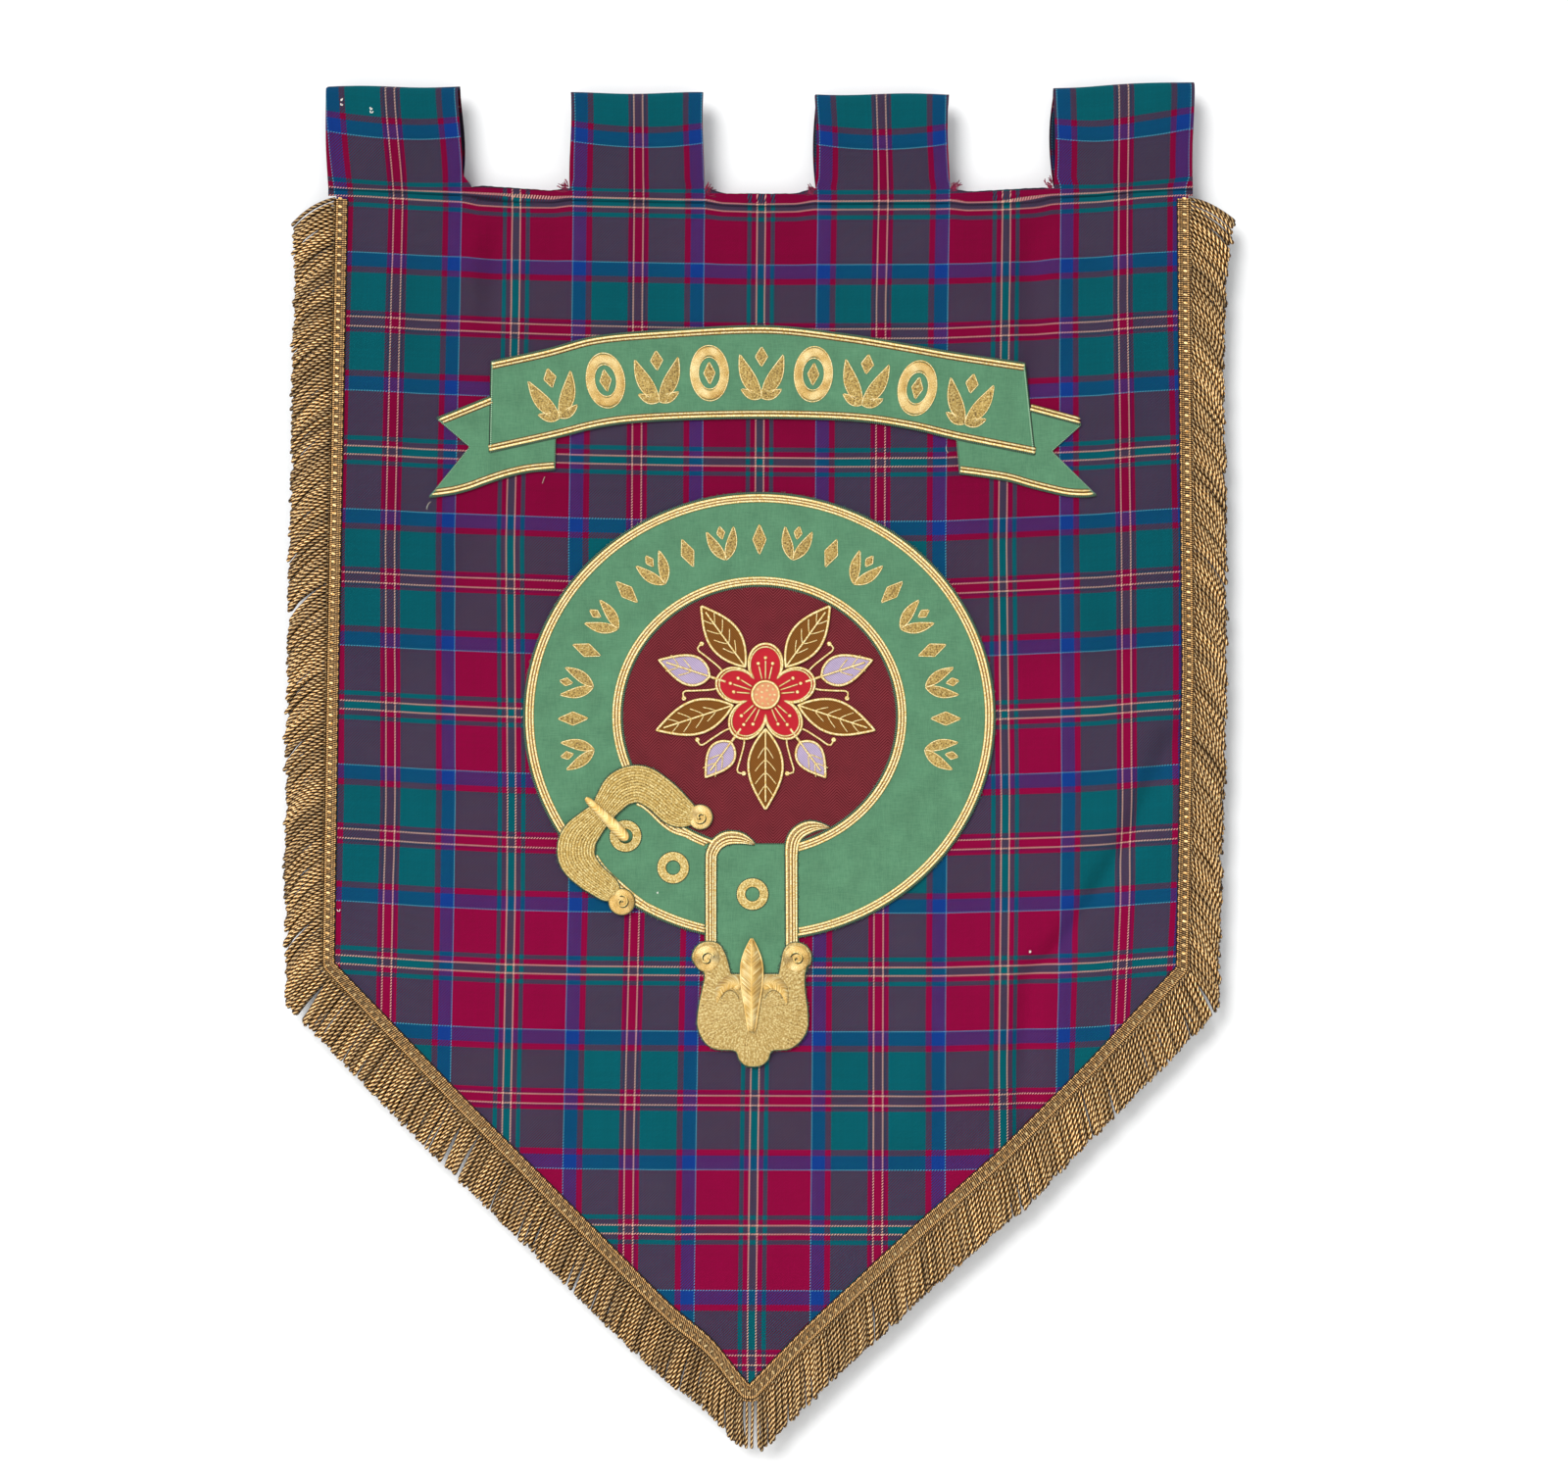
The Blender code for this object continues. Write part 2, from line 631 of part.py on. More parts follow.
def build_strap():
    """The hanging end of the belt, its gold tip and the ridged leaf over it."""
    strap = plate(strap_outline(0.0), LINEN_BACK, LINEN_THICKNESS)
    add_piece("strap_end", strap, "green_linen")

    right = [(STRAP_X + x, z) for x, z in CHAPE_HALF]
    left = [(STRAP_X - x, z) for x, z in reversed(CHAPE_HALF)]
    outline = right + [(STRAP_X, CHAPE_FOOT)] + left
    chape = padded_plate(outline, LINEN_BACK, CHAPE_EDGE, CHAPE_CROWN, CHAPE_INSET)
    add_piece("strap_tip", chape, "gold_thread")

    back = LINEN_BACK - CHAPE_EDGE - CHAPE_CROWN - GAP
    bm = bmesh.new()
    waist_z = blend(SPEAR_TOP, SPEAR_WIDEST, 0.5)
    low_z = blend(SPEAR_WIDEST, SPEAR_FOOT, 0.6)
    stations = ((waist_z, 0.70), (SPEAR_WIDEST, 1.0), (low_z, 0.55), (SPEAR_FOOT, 0.28))
    top = bm.verts.new((STRAP_X, back, SPEAR_TOP))
    tip = bm.verts.new((STRAP_X, back - SPEAR_RIDGE / 2, SPEAR_TOP))
    rows = []
    for z, share in stations:
        half = SPEAR_HALF * share
        rows.append((bm.verts.new((STRAP_X - half, back, z)),
                     bm.verts.new((STRAP_X, back - SPEAR_RIDGE, z)),
                     bm.verts.new((STRAP_X + half, back, z))))
    left_v, ridge_v, right_v = rows[0]
    bm.faces.new((top, left_v, tip))
    bm.faces.new((tip, left_v, ridge_v))
    bm.faces.new((tip, ridge_v, right_v))
    bm.faces.new((top, tip, right_v))
    bm.faces.new((top, right_v, left_v))
    for a, b in zip(rows, rows[1:]):
        for first, second in ((0, 1), (1, 2), (2, 0)):
            bm.faces.new((a[first], b[first], b[second], a[second]))
    bm.faces.new(rows[-1])
    add_piece("strap_tip_leaf", bm, "gold_thread")


def build_buckle():
    """The buckle, as a stroke of changing width with round ends, and the prong across it."""
    left, right = [], []
    for index, (x, z, half) in enumerate(BUCKLE):
        before = BUCKLE[max(index - 1, 0)]
        after = BUCKLE[min(index + 1, len(BUCKLE) - 1)]
        dx, dz = after[0] - before[0], after[1] - before[1]
        length = math.hypot(dx, dz)
        nx, nz = -dz / length * half, dx / length * half
        left.append((x + nx, z + nz))
        right.append((x - nx, z - nz))
    outline = left + round_end(BUCKLE[-2], BUCKLE[-1]) + right[::-1]
    outline += round_end(BUCKLE[1], BUCKLE[0])
    back = CORD_FRONT - GAP
    buckle = padded_plate(outline, back, BUCKLE_EDGE, BUCKLE_CROWN, BUCKLE_INSET)
    add_piece("buckle", buckle, "gold_thread")

    (x0, z0, half0), (x1, z1, half1) = PRONG
    length = math.dist((x0, z0), (x1, z1))
    nx, nz = -(z1 - z0) / length, (x1 - x0) / length
    outline = [(x0 + nx * half0, z0 + nz * half0), (x1 + nx * half1, z1 + nz * half1)]
    outline += round_end(PRONG[0], PRONG[1])
    outline += [(x1 - nx * half1, z1 - nz * half1), (x0 - nx * half0, z0 - nz * half0)]
    outline += round_end(PRONG[1], PRONG[0])
    back -= BUCKLE_EDGE + BUCKLE_CROWN + GAP
    prong = padded_plate(outline, back, PRONG_THICKNESS, PRONG_CROWN, half0 / 2)
    add_piece("buckle_prong", prong, "gold_thread")


def round_end(before, end):
    """Points of the half round that closes a stroke, between its two sides."""
    x, z, half = end
    heading = math.atan2(z - before[1], x - before[0])
    turns = [heading + math.radians(90.0 - 180.0 * step / 5) for step in range(1, 5)]
    return [(x + half * math.cos(turn), z + half * math.sin(turn)) for turn in turns]


def build_eyelets():
    """Flat stitched rings that lie on the belt."""
    for name, x, z in EYELETS:
        bm = bmesh.new()
        rows = []
        back = LINEN_FRONT - GAP
        front = back - EYELET_THICKNESS
        section = ((EYELET_INNER, back), (EYELET_INNER, front), (EYELET_OUTER, front),
                   (EYELET_OUTER, back))
        for side in range(EYELET_SIDES):
            turn = 2 * math.pi * side / EYELET_SIDES
            rows.append([bm.verts.new((x + radius * math.cos(turn), y, z + radius * math.sin(turn)))
                         for radius, y in section])
        for side, a in enumerate(rows):
            b = rows[(side + 1) % EYELET_SIDES]
            for index in range(4):
                following = (index + 1) % 4
                bm.faces.new((a[index], a[following], b[following], b[index]))
        add_piece(name, bm, "gold_thread")


def spray_place(angle, radius, across):
    """A place on the spray, by direction, distance from its middle and distance to the side."""
    turn = math.radians(angle)
    x = SPRAY_X + radius * math.cos(turn) - across * math.sin(turn)
    z = SPRAY_Z + radius * math.sin(turn) + across * math.cos(turn)
    return x, z


def build_spray():
    """A five-petalled flower with leaves and buds round it, each cut from its own cloth."""
    steps = PETALS * 8
    outline = []
    for step in range(steps):
        swell = abs(math.cos(math.pi * step / 8))
        radius = blend(PETAL_WAIST, PETAL_LENGTH, swell ** 0.7)
        outline.append(spray_place(90.0 + 360.0 * step / steps, radius, 0.0))
    add_piece("flower", plate(outline, PATCH_BACK, PATCH_THICKNESS), "red_patch")

    back = PATCH_BACK - PATCH_THICKNESS - GAP
    centre = [spray_place(360.0 * side / FLOWER_SIDES, FLOWER_CENTRE, 0.0)
              for side in range(FLOWER_SIDES)]
    add_piece("flower_centre", plate(centre, back, PATCH_THICKNESS), "peach_patch")

    for name, angle, start, end, half in SPRAY:
        is_bud = name.startswith("bud")
        one_side, other_side = [], []
        for station in range(1, LEAF_STATIONS):
            share = station / LEAF_STATIONS
            width = half * math.sin(math.pi * share ** (0.7 if is_bud else 0.9))
            radius = blend(start, end, share)
            one_side.append(spray_place(angle, radius, width))
            other_side.append(spray_place(angle, radius, -width))
        outline = [spray_place(angle, start, 0.0), *one_side, spray_place(angle, end, 0.0)]
        outline += other_side[::-1]
        colour = "lilac_patch" if is_bud else "brown_patch"
        add_piece(name, plate(outline, PATCH_BACK, PATCH_THICKNESS), colour)


clear_scene()
BANNER = new_collection("clan_banner")
CUTTERS = new_collection("cutters")
build_cloth()
build_tab_strip()
build_fringes()
build_scroll()
build_ring()
build_disc()
build_strap()
build_buckle()
build_eyelets()
build_spray()
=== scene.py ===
"""Clan banner: tartan cloth with hanging loops, gold bullion fringe and an applied badge."""
import math
import random

import bpy
import numpy as np
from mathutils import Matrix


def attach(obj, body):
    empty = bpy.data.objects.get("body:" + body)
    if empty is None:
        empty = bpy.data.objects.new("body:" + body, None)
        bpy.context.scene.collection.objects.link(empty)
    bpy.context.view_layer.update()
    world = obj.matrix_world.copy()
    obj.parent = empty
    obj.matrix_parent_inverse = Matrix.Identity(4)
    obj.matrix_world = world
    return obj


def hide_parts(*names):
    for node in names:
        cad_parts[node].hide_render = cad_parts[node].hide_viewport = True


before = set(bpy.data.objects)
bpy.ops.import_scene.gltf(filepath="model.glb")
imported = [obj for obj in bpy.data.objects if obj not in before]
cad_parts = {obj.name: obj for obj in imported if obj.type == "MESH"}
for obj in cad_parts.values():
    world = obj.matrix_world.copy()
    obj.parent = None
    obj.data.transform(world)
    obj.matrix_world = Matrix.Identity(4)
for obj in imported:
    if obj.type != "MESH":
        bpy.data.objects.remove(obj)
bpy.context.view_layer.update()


# Where it hangs. The banner hangs close against a plain white wall over a pale floor, in soft
# daylight from the upper left, and is seen square on, from about three metres away.
WALL_Y, FLOOR_Z, ROOM_WIDTH = 0.017, -1.4, 8.0
EYE, LENS, FILM, FARTHEST = (0.0185, -2.909, -0.5147), 85.0, 36.0, 50.0
SKY, SKY_STRENGTH = (0.96, 0.98, 1.0, 1.0), 0.62
LAMPS = (
    # lamp        strength  spread  tip    turn
    ("daylight", 2.55, 34.0, 57.0, -32.0),
    ("back_fill", 0.9, 60.0, 60.0, 160.0),
)
UPRIGHT = (math.pi / 2, 0.0, 0.0)


def turn_to(mode):
    bpy.ops.object.mode_set(mode=mode)


def add_new(name, make, **settings):
    """A new object, made by one of the ready shapes."""
    bpy.ops.object.select_all(action="DESELECT")
    make(**settings)
    bpy.context.object.name = name
    return bpy.context.object


def hold(piece):
    """Make a piece the one that is worked on."""
    bpy.ops.object.select_all(action="DESELECT")
    bpy.context.view_layer.objects.active = piece
    piece.select_set(True)


def dye(code):
    """A colour from its six-figure code, as a shader takes it."""
    levels = [int(code[start:start + 2], 16) / 255 for start in (1, 3, 5)]
    return (*(v / 12.92 if v <= 0.04045 else ((v + 0.055) / 1.055) ** 2.4 for v in levels), 1.0)


class Wire:
    """One socket of a finish. Sums on it add Math nodes."""

    def __init__(self, finish, socket):
        self.finish, self.socket = finish, socket

    def maths(self, operation, *others):
        return self.finish.node("Math", {"operation": operation}, dict(enumerate((self, *others))))

    def wave(self):
        """Evenly up and down between 0 and 1, once in each unit."""
        return self.maths("PINGPONG", 0.5) * 2.0

    def __getitem__(self, output):
        return Wire(self.finish, self.socket.node.outputs[output])

    def __add__(self, other):
        return self.maths("ADD", other)

    def __sub__(self, other):
        return self.maths("SUBTRACT", other)

    def __rsub__(self, other):
        return self.finish.node("Math", {"operation": "SUBTRACT"}, {0: other, 1: self})

    def __mul__(self, other):
        return self.maths("MULTIPLY", other)

    def __truediv__(self, other):
        return self.maths("DIVIDE", other)

    def __lt__(self, other):
        return self.maths("LESS_THAN", other)

    __radd__ = __add__
    __rmul__ = __mul__


class Finish:
    """A material for one kind of surface."""

    def __init__(self, name, **settings):
        self.material = bpy.data.materials.new(name)
        self.material.use_nodes = True
        self.nodes = self.material.node_tree.nodes
        self.shader = self.nodes["Principled BSDF"]
        self.dress(**settings)

    def take(self, node, inputs):
        """Give a node's sockets their values or links."""
        for name, value in inputs.items():
            socket = node.inputs[name.replace("_", " ") if isinstance(name, str) else name]
            if isinstance(value, Wire):
                self.material.node_tree.links.new(value.socket, socket)
            else:
                socket.default_value = value

    def dress(self, **inputs):
        self.take(self.shader, inputs)

    def node(self, kind, settings=None, inputs=None, output=0):
        node = self.nodes.new("ShaderNode" + kind)
        for name, value in (settings or {}).items():
            setattr(node, name, value)
        self.take(node, inputs or {})
        return Wire(self, node.outputs[output])

    def bands(self, place, stops):
        """Flat bands of colour, each from its stop to the next."""
        found = self.node("ValToRGB", None, {"Fac": place})
        ramp = found.socket.node.color_ramp
        ramp.interpolation = "CONSTANT"
        for start, colour in stops[1:]:
            ramp.elements.new(start).color = colour
        ramp.elements[0].position, ramp.elements[0].color = stops[0]
        ramp.elements.remove(ramp.elements[-1])
        return found

    def place(self):
        return self.node("TexCoord")["Object"]

    def split(self, place):
        return self.node("SeparateXYZ", None, {0: place})

    def thread(self):
        """On a thread: the way round it, the way along it and its tone, which holds its own colour and any
        painted shade.
        """
        lie = self.split(self.node("UVMap", {"uv_map": "ply"}))
        return lie["X"], lie["Y"], self.node("Attribute", {"attribute_name": "tone"})["Fac"]

    def mix(self, share, first, second, blend="MIX"):
        """Two colours laid over each other."""
        return self.node("Mix", {"data_type": "RGBA", "blend_type": blend},
                         {0: share, 6: first, 7: second}, 2)

    def tint(self, colour, light):
        return self.mix(1.0, colour, light, "MULTIPLY")

    def gild(self, body, glint, dark, middle, pale):
        """Gold thread: painted shade in its grooves, its own gold on its body and a painted highlight where
        it glints.
        """
        return self.mix(glint, self.mix(body, dye(dark), dye(middle)), dye(pale))

    def noise(self, place, scale, detail=2.0):
        return self.node("TexNoise", {"noise_dimensions": "3D"},
                         {"Vector": place, "Scale": scale, "Detail": detail})

    def stretch(self, place, x, y, z):
        """The same place, measured in other units along each direction."""
        return self.node("VectorMath", {"operation": "MULTIPLY"}, {0: place, 1: (x, y, z)})

    def ease(self, value, low, high):
        """0 below low and 1 above high, softly between."""
        return self.node("MapRange", {"interpolation_type": "SMOOTHSTEP"},
                         {"Value": value, "From Min": low, "From Max": high})

    def bump(self, height, distance, strength=0.7):
        return self.node("Bump", None, {"Height": height, "Distance": distance, "Strength": strength})


wall_paint = Finish("wall_paint", Base_Color=(0.93, 0.93, 0.93, 1.0))
wall_paint.dress(Roughness=0.9 + 0.08 * wall_paint.noise(wall_paint.place(), 3.0))
front_side = Wire(wall_paint, wall_paint.shader.outputs[0])
back_side = wall_paint.node("BsdfTransparent")
one_sided = wall_paint.node(
    "MixShader", None, {0: wall_paint.node("NewGeometry")["Backfacing"], 1: front_side, 2: back_side})
wall_paint.take(wall_paint.nodes["Material Output"], {"Surface": one_sided})
wall = add_new("wall", bpy.ops.mesh.primitive_plane_add, size=ROOM_WIDTH, location=(0.0, WALL_Y, 0.0),
               rotation=UPRIGHT)
turn_to("EDIT")
bpy.ops.mesh.bisect(plane_co=(0.0, 0.0, FLOOR_Z), plane_no=(0.0, 0.0, -1.0), clear_outer=True)
turn_to("OBJECT")
wall.data.materials.append(wall_paint.material)
wall.visible_shadow = False

floor_paint = Finish("floor_paint", Roughness=0.9)
floor_paint.dress(Base_Color=floor_paint.mix(floor_paint.noise(floor_paint.place(), 9.0, 5.0),
                                             (0.74, 0.73, 0.71, 1.0), (0.84, 0.83, 0.81, 1.0)))
floor = add_new("floor", bpy.ops.mesh.primitive_plane_add, size=ROOM_WIDTH, location=(0.0, 0.0, FLOOR_Z))
floor.data.materials.append(floor_paint.material)

for name, strength, spreading, tip, turn in LAMPS:
    lamp = add_new(name, bpy.ops.object.light_add, type="SUN",
                   rotation=(math.radians(tip), 0.0, math.radians(turn)))
    lamp.data.energy = strength
    lamp.data.angle = math.radians(spreading)

room = bpy.data.worlds.new("room")
room.use_nodes = True
sky = room.node_tree.nodes["Background"].inputs
sky["Color"].default_value, sky["Strength"].default_value = SKY, SKY_STRENGTH
bpy.context.scene.world = room
bpy.context.scene.view_settings.view_transform = "Standard"

camera = add_new("camera", bpy.ops.object.camera_add, location=EYE, rotation=UPRIGHT)
camera.data.lens, camera.data.sensor_width, camera.data.clip_end = LENS, FILM, FARTHEST
bpy.context.scene.camera = camera


# The cloth. One length of worsted twill, woven in stripes both ways, cut to a point at the foot
# and hung by its top edge. It lies flat under the badge and falls in soft folds beside it.
CLOTH_THICKNESS = 0.0015
CLOTH_TOP = -0.08605
CLOTH_TIP = -1.0262
THREAD, WARP_HALF, WEFT_HALF = 0.00055, 0.0959, 0.1005
CLOTH_COLUMNS, CLOTH_ROWS = 150, 208
SHARP_EDGE = math.radians(50.0)
LEFT_CUT = ((-0.3330, -0.0863), (-0.3399, -0.4560), (-0.3433, -0.6930), (-0.0121, -1.0262))
RIGHT_CUT = ((0.3361, -0.0863), (0.3399, -0.4556), (0.3353, -0.6930), (0.2634, -0.7724),
             (0.1922, -0.8434), (0.1234, -0.9042), (0.0416, -0.9803), (-0.0050, -1.0262))
FOLDS = (
    # x_top    z_top    x_end    z_end    half     depth
    (-0.2070, -0.0930, -0.2110, -0.1980, 0.0120, 0.0040),
    (-0.2900, -0.1300, -0.2960, -0.3900, 0.0150, -0.0028),
    (-0.2780, -0.4400, -0.2860, -0.6300, 0.0200, 0.0032),
    (-0.2350, -0.3450, -0.2300, -0.4200, 0.0140, 0.0026),
    (0.2110, -0.0930, 0.2200, -0.2450, 0.0140, 0.0042),
    (0.2900, -0.1200, 0.2860, -0.3000, 0.0150, -0.0030),
    (0.2480, -0.3600, 0.2620, -0.5200, 0.0180, -0.0038),
    (0.3314, -0.4900, 0.2890, -0.6000, 0.0115, 0.0064),
    (0.3030, -0.5700, 0.2420, -0.6700, 0.0110, 0.0064),
    (0.2640, -0.6400, 0.2050, -0.7100, 0.0110, 0.0058),
    (0.2110, -0.6800, 0.2030, -0.8400, 0.0100, 0.0054),
    (0.1300, -0.7400, 0.1050, -0.8500, 0.0200, -0.0026),
    (-0.1500, -0.7300, -0.1300, -0.8400, 0.0220, 0.0030),
    (-0.0900, -0.8100, -0.0600, -0.9300, 0.0160, -0.0022),
    (-0.2240, -0.1000, -0.2290, -0.2200, 0.0070, -0.0012),
    (-0.1930, -0.1000, -0.1950, -0.1900, 0.0060, -0.0010),
    (0.2330, -0.1050, 0.2310, -0.2300, 0.0080, -0.0013),
    (0.1980, -0.1000, 0.1930, -0.1800, 0.0070, -0.0011),
    (-0.1190, -0.0900, -0.1200, -0.1500, 0.0090, 0.0012),
    (0.0900, -0.0900, 0.0920, -0.1450, 0.0100, 0.0011),
    (0.2520, -0.6100, 0.2620, -0.7100, 0.0080, -0.0012),
    (-0.2460, -0.5600, -0.2400, -0.6700, 0.0090, -0.0012),
    (0.0300, -0.8600, 0.0240, -0.9500, 0.0120, 0.0014),
)
# Where the middles of the seven stripe groups lie across the cloth, by height
WARP_LIES = (
    # z
    (0.0100, (-0.2892, -0.1932, -0.0966, 0.0000, 0.0954, 0.1925, 0.2846)),
    (-0.0400, (-0.2867, -0.1925, -0.0957, 0.0004, 0.0961, 0.1930, 0.2848)),
    (-0.0900, (-0.2845, -0.1917, -0.0955, 0.0008, 0.0966, 0.1935, 0.2850)),
    (-0.1700, (-0.2864, -0.1925, -0.0964, 0.0000, 0.0947, 0.1925, 0.2845)),
    (-0.3600, (-0.2908, -0.1967, -0.0975, -0.0010, 0.0940, 0.1901, 0.2872)),
    (-0.5600, (-0.2910, -0.1955, -0.0980, -0.0025, 0.0935, 0.1925, 0.2880)),
    (-0.6400, (-0.2925, -0.1960, -0.0985, -0.0031, 0.0928, 0.1921, 0.2864)),
    (-0.7700, (-0.2950, -0.1987, -0.1020, -0.0042, 0.0924, 0.1906, 0.2810)),
    (-0.8200, (-0.2960, -0.1998, -0.1030, -0.0050, 0.0924, 0.1910, 0.2800)),
    (-0.9700, (-0.2980, -0.2017, -0.1047, -0.0069, 0.0916, 0.1910, 0.2790)),
)
# Where the middles of the stripe groups lie down the middle of the cloth
WEFT_LIES = (0.2092, 0.1082, 0.0078, -0.0929, -0.1945, -0.2957, -0.3955, -0.4956, -0.5964, -0.6955,
             -0.7970, -0.8986, -1.0010, -1.1040)
# How far the weft rises towards the sides, at the level of the scroll and below the ring
SAG_X = (-0.3400, -0.3110, -0.2664, -0.2033, -0.1432, -0.0662, 0.0570, 0.1417, 0.2341, 0.2649,
         0.2995, 0.3300)
SAG_HIGH = (0.0108, 0.0098, 0.0073, 0.0050, 0.0028, 0.0012, 0.0, 0.0004, 0.0046, 0.0058, 0.0088, 0.0106)
SAG_LOW = (0.0104, 0.0087, 0.0056, 0.0025, 0.0011, 0.0005, 0.0, 0.0, 0.0024, 0.0040, 0.0071, 0.0092)
# How far it dips between the hanging loops, just below the top edge
DIP_X = (-0.3400, -0.2330, -0.2220, -0.1920, -0.1620, -0.1510, -0.0430, -0.0300, -0.0010, 0.0290, 0.0410,
         0.1500, 0.1620, 0.1900, 0.2180, 0.2290, 0.3400)
DIP = (0.0, 0.0010, 0.0037, 0.0046, 0.0037, 0.0010, 0.0010, 0.0037, 0.0047, 0.0037, 0.0010,
       0.0010, 0.0037, 0.0046, 0.0037, 0.0010, 0.0)
DIP_REACH = 0.034
# Half of the stripe sequence, from the middle of the narrow group to the middle of the broad one
STRIPES = (
    # yarn    width in parts
    ("teal", 3.0), ("cream", 1.5), ("crimson", 4.7), ("teal", 4.5), ("crimson", 42.7), ("azure", 1.4),
    ("blue", 12.6), ("crimson", 5.8), ("teal", 37.0), ("crimson", 2.4), ("plum", 2.1), ("cream", 1.5),
    ("crimson", 4.2),
)
YARNS = {
    # yarn: colour, paleness
    "crimson": ("#8A063A", 0.00), "teal": ("#06606A", 0.55), "blue": ("#153E90", 0.36),
    "plum": ("#661048", 0.06), "azure": ("#5AACCE", 0.80), "cream": ("#F2C2A2", 1.00),
}


def soften(share):
    share = np.clip(share, 0.0, 1.0)
    return share * share * (3.0 - 2.0 * share)


def drape(x, z):
    """How far the cloth lies behind its flat plane."""
    total = np.zeros_like(x)
    for x_top, z_top, x_end, z_end, half, depth in FOLDS:
        middle = x_top + (x_end - x_top) * (z_top - z) / (z_top - z_end)
        fade = soften((z_top - z) / 0.030) * soften((z - z_end) / 0.030)
        total += depth * fade * np.exp(-((x - middle) / half) ** 2)
    return total


def thread_places(x, z):
    """Which threads cross at a place, counted in half sequences across and up the cloth."""
    heights = [row[0] for row in WARP_LIES][::-1]
    middles = [np.interp(z, heights, [row[1][group] for row in WARP_LIES][::-1]) for group in range(7)]
    across = -3.0 + (x - middles[0]) / (middles[1] - middles[0])
    for group in range(1, 7):
        step = (x - middles[group - 1]) / (middles[group] - middles[group - 1])
        across = np.where(x > middles[group - 1], group - 4.0 + step, across)
    low = soften((-0.35 - z) / 0.30)
    sag = np.interp(x, SAG_X, SAG_HIGH) * (1.0 - low) + np.interp(x, SAG_X, SAG_LOW) * low
    dip = np.exp(-np.abs(z - CLOTH_TOP) / DIP_REACH) * soften((-0.0840 - z) / 0.0070)
    sag = sag - np.interp(x, DIP_X, DIP) * dip
    rows = np.arange(len(WEFT_LIES), dtype=float)
    up = 3.0 - np.interp(sag - z, [-row for row in WEFT_LIES], rows)
    return across, up


def thread_map(piece, across, up):
    """Lay the stripe sequence on a piece, as its own UV map."""
    threads = piece.data.uv_layers.new(name="threads")
    corners = np.empty(len(piece.data.loops), dtype=np.int32)
    piece.data.loops.foreach_get("vertex_index", corners)
    threads.data.foreach_set("uv", np.stack((across[corners], up[corners]), axis=1).ravel())


def places(piece):
    found = np.empty(len(piece.data.vertices) * 3)
    piece.data.vertices.foreach_get("co", found)
    return found.reshape(-1, 3)


def put(piece, points):
    piece.data.vertices.foreach_set("co", points.ravel())
    piece.data.update()


def thicken(piece):
    """Turn a single layer of cloth to the front and give it its thickness."""
    hold(piece)
    turn_to("EDIT")
    bpy.ops.mesh.select_all(action="SELECT")
    bpy.ops.mesh.flip_normals()
    turn_to("OBJECT")
    layer = piece.modifiers.new("thickness", "SOLIDIFY")
    layer.thickness, layer.offset = CLOTH_THICKNESS, 0.0
    bpy.ops.object.modifier_apply(modifier="thickness")
    bpy.ops.object.shade_smooth_by_angle(angle=SHARP_EDGE)


def sew_on(piece, slot, finish, *nodes):
    """A finished piece: its material, the body it moves with and the solids it stands for."""
    piece.data.materials.clear()
    piece.data.materials.append(finish.material)
    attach(piece, "root")
    if nodes:
        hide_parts(*nodes)


whole = sum(width for _, width in STRIPES)
stops, so_far = [], 0.0
for yarn, width in STRIPES:
    code, pale = YARNS[yarn]
    stops.append((so_far / whole, (*dye(code)[:3], pale)))
    so_far += width
tartan = Finish("tartan_twill", Sheen_Weight=0.02, Sheen_Roughness=0.4, Specular_IOR_Level=0.05)
weave = tartan.split(tartan.node("UVMap", {"uv_map": "threads"}))
warp, weft = weave["X"], weave["Y"]
warp_stripe, weft_stripe = (tartan.bands(threads.maths("PINGPONG", 1.0), stops)
                            for threads in (warp, weft))
warp_count, weft_count = warp * (WARP_HALF / THREAD), weft * (WEFT_HALF / THREAD)
step = warp_count - weft_count
over = step.maths("FLOORED_MODULO", 4.0) < 2.0
woven = tartan.mix(over, weft_stripe, warp_stripe)
# Where pale yarn crosses dark yarn, one of them shows more, and cream over teal looks cooler
paler = (warp_stripe["Alpha"] - weft_stripe["Alpha"]) * 2.2
cooler = tartan.ease(paler.maths("ABSOLUTE"), 0.85, 1.15)
woven = tartan.mix(cooler, woven, tartan.tint(woven, (1.03, 0.80, 1.10, 1.0)))
paler = paler.maths("MINIMUM", 1.0).maths("MAXIMUM", -1.0)
# Where unlike yarns cross, the paler thread shows more when it lies on top, and the whole crossing is
# darkened: painted shade in the gaps between the threads
crossing_and_thread_shade = 1.0 - 0.27 * paler.maths("ABSOLUTE") + 0.46 * (over - 0.5) * paler
warp_luck, weft_luck = (tartan.node("TexWhiteNoise", {"noise_dimensions": "1D"}, {"W": thread})
                        for thread in (warp_count.maths("FLOOR"), weft_count.maths("FLOOR") + 3000.5))
uneven = warp_luck + weft_luck
here = tartan.place()
level = tartan.split(here)["Z"] * -1.0
# Painted light: the cloth is painted brighter from about a third of the way down, as if more light fell
# there, and crimson-on-crimson squares are brighter still
painted_light_low_down = tartan.ease(level, 0.36, 0.60)
all_crimson = 1.0 - tartan.ease(warp_stripe["Alpha"] + weft_stripe["Alpha"], 0.02, 0.20)
rosier = all_crimson * tartan.ease(level, 0.33, 0.46)
cloudy = tartan.noise(here, 24.0, 4.0) - 0.5
# The cloth's tone: uneven from thread to thread and cloudy, times the painted light below and the painted
# shade of the crossings
tone_and_shade = (0.595 + 0.05 * uneven + 0.12 * cloudy + 0.055 * painted_light_low_down + 0.115 * rosier) * crossing_and_thread_shade
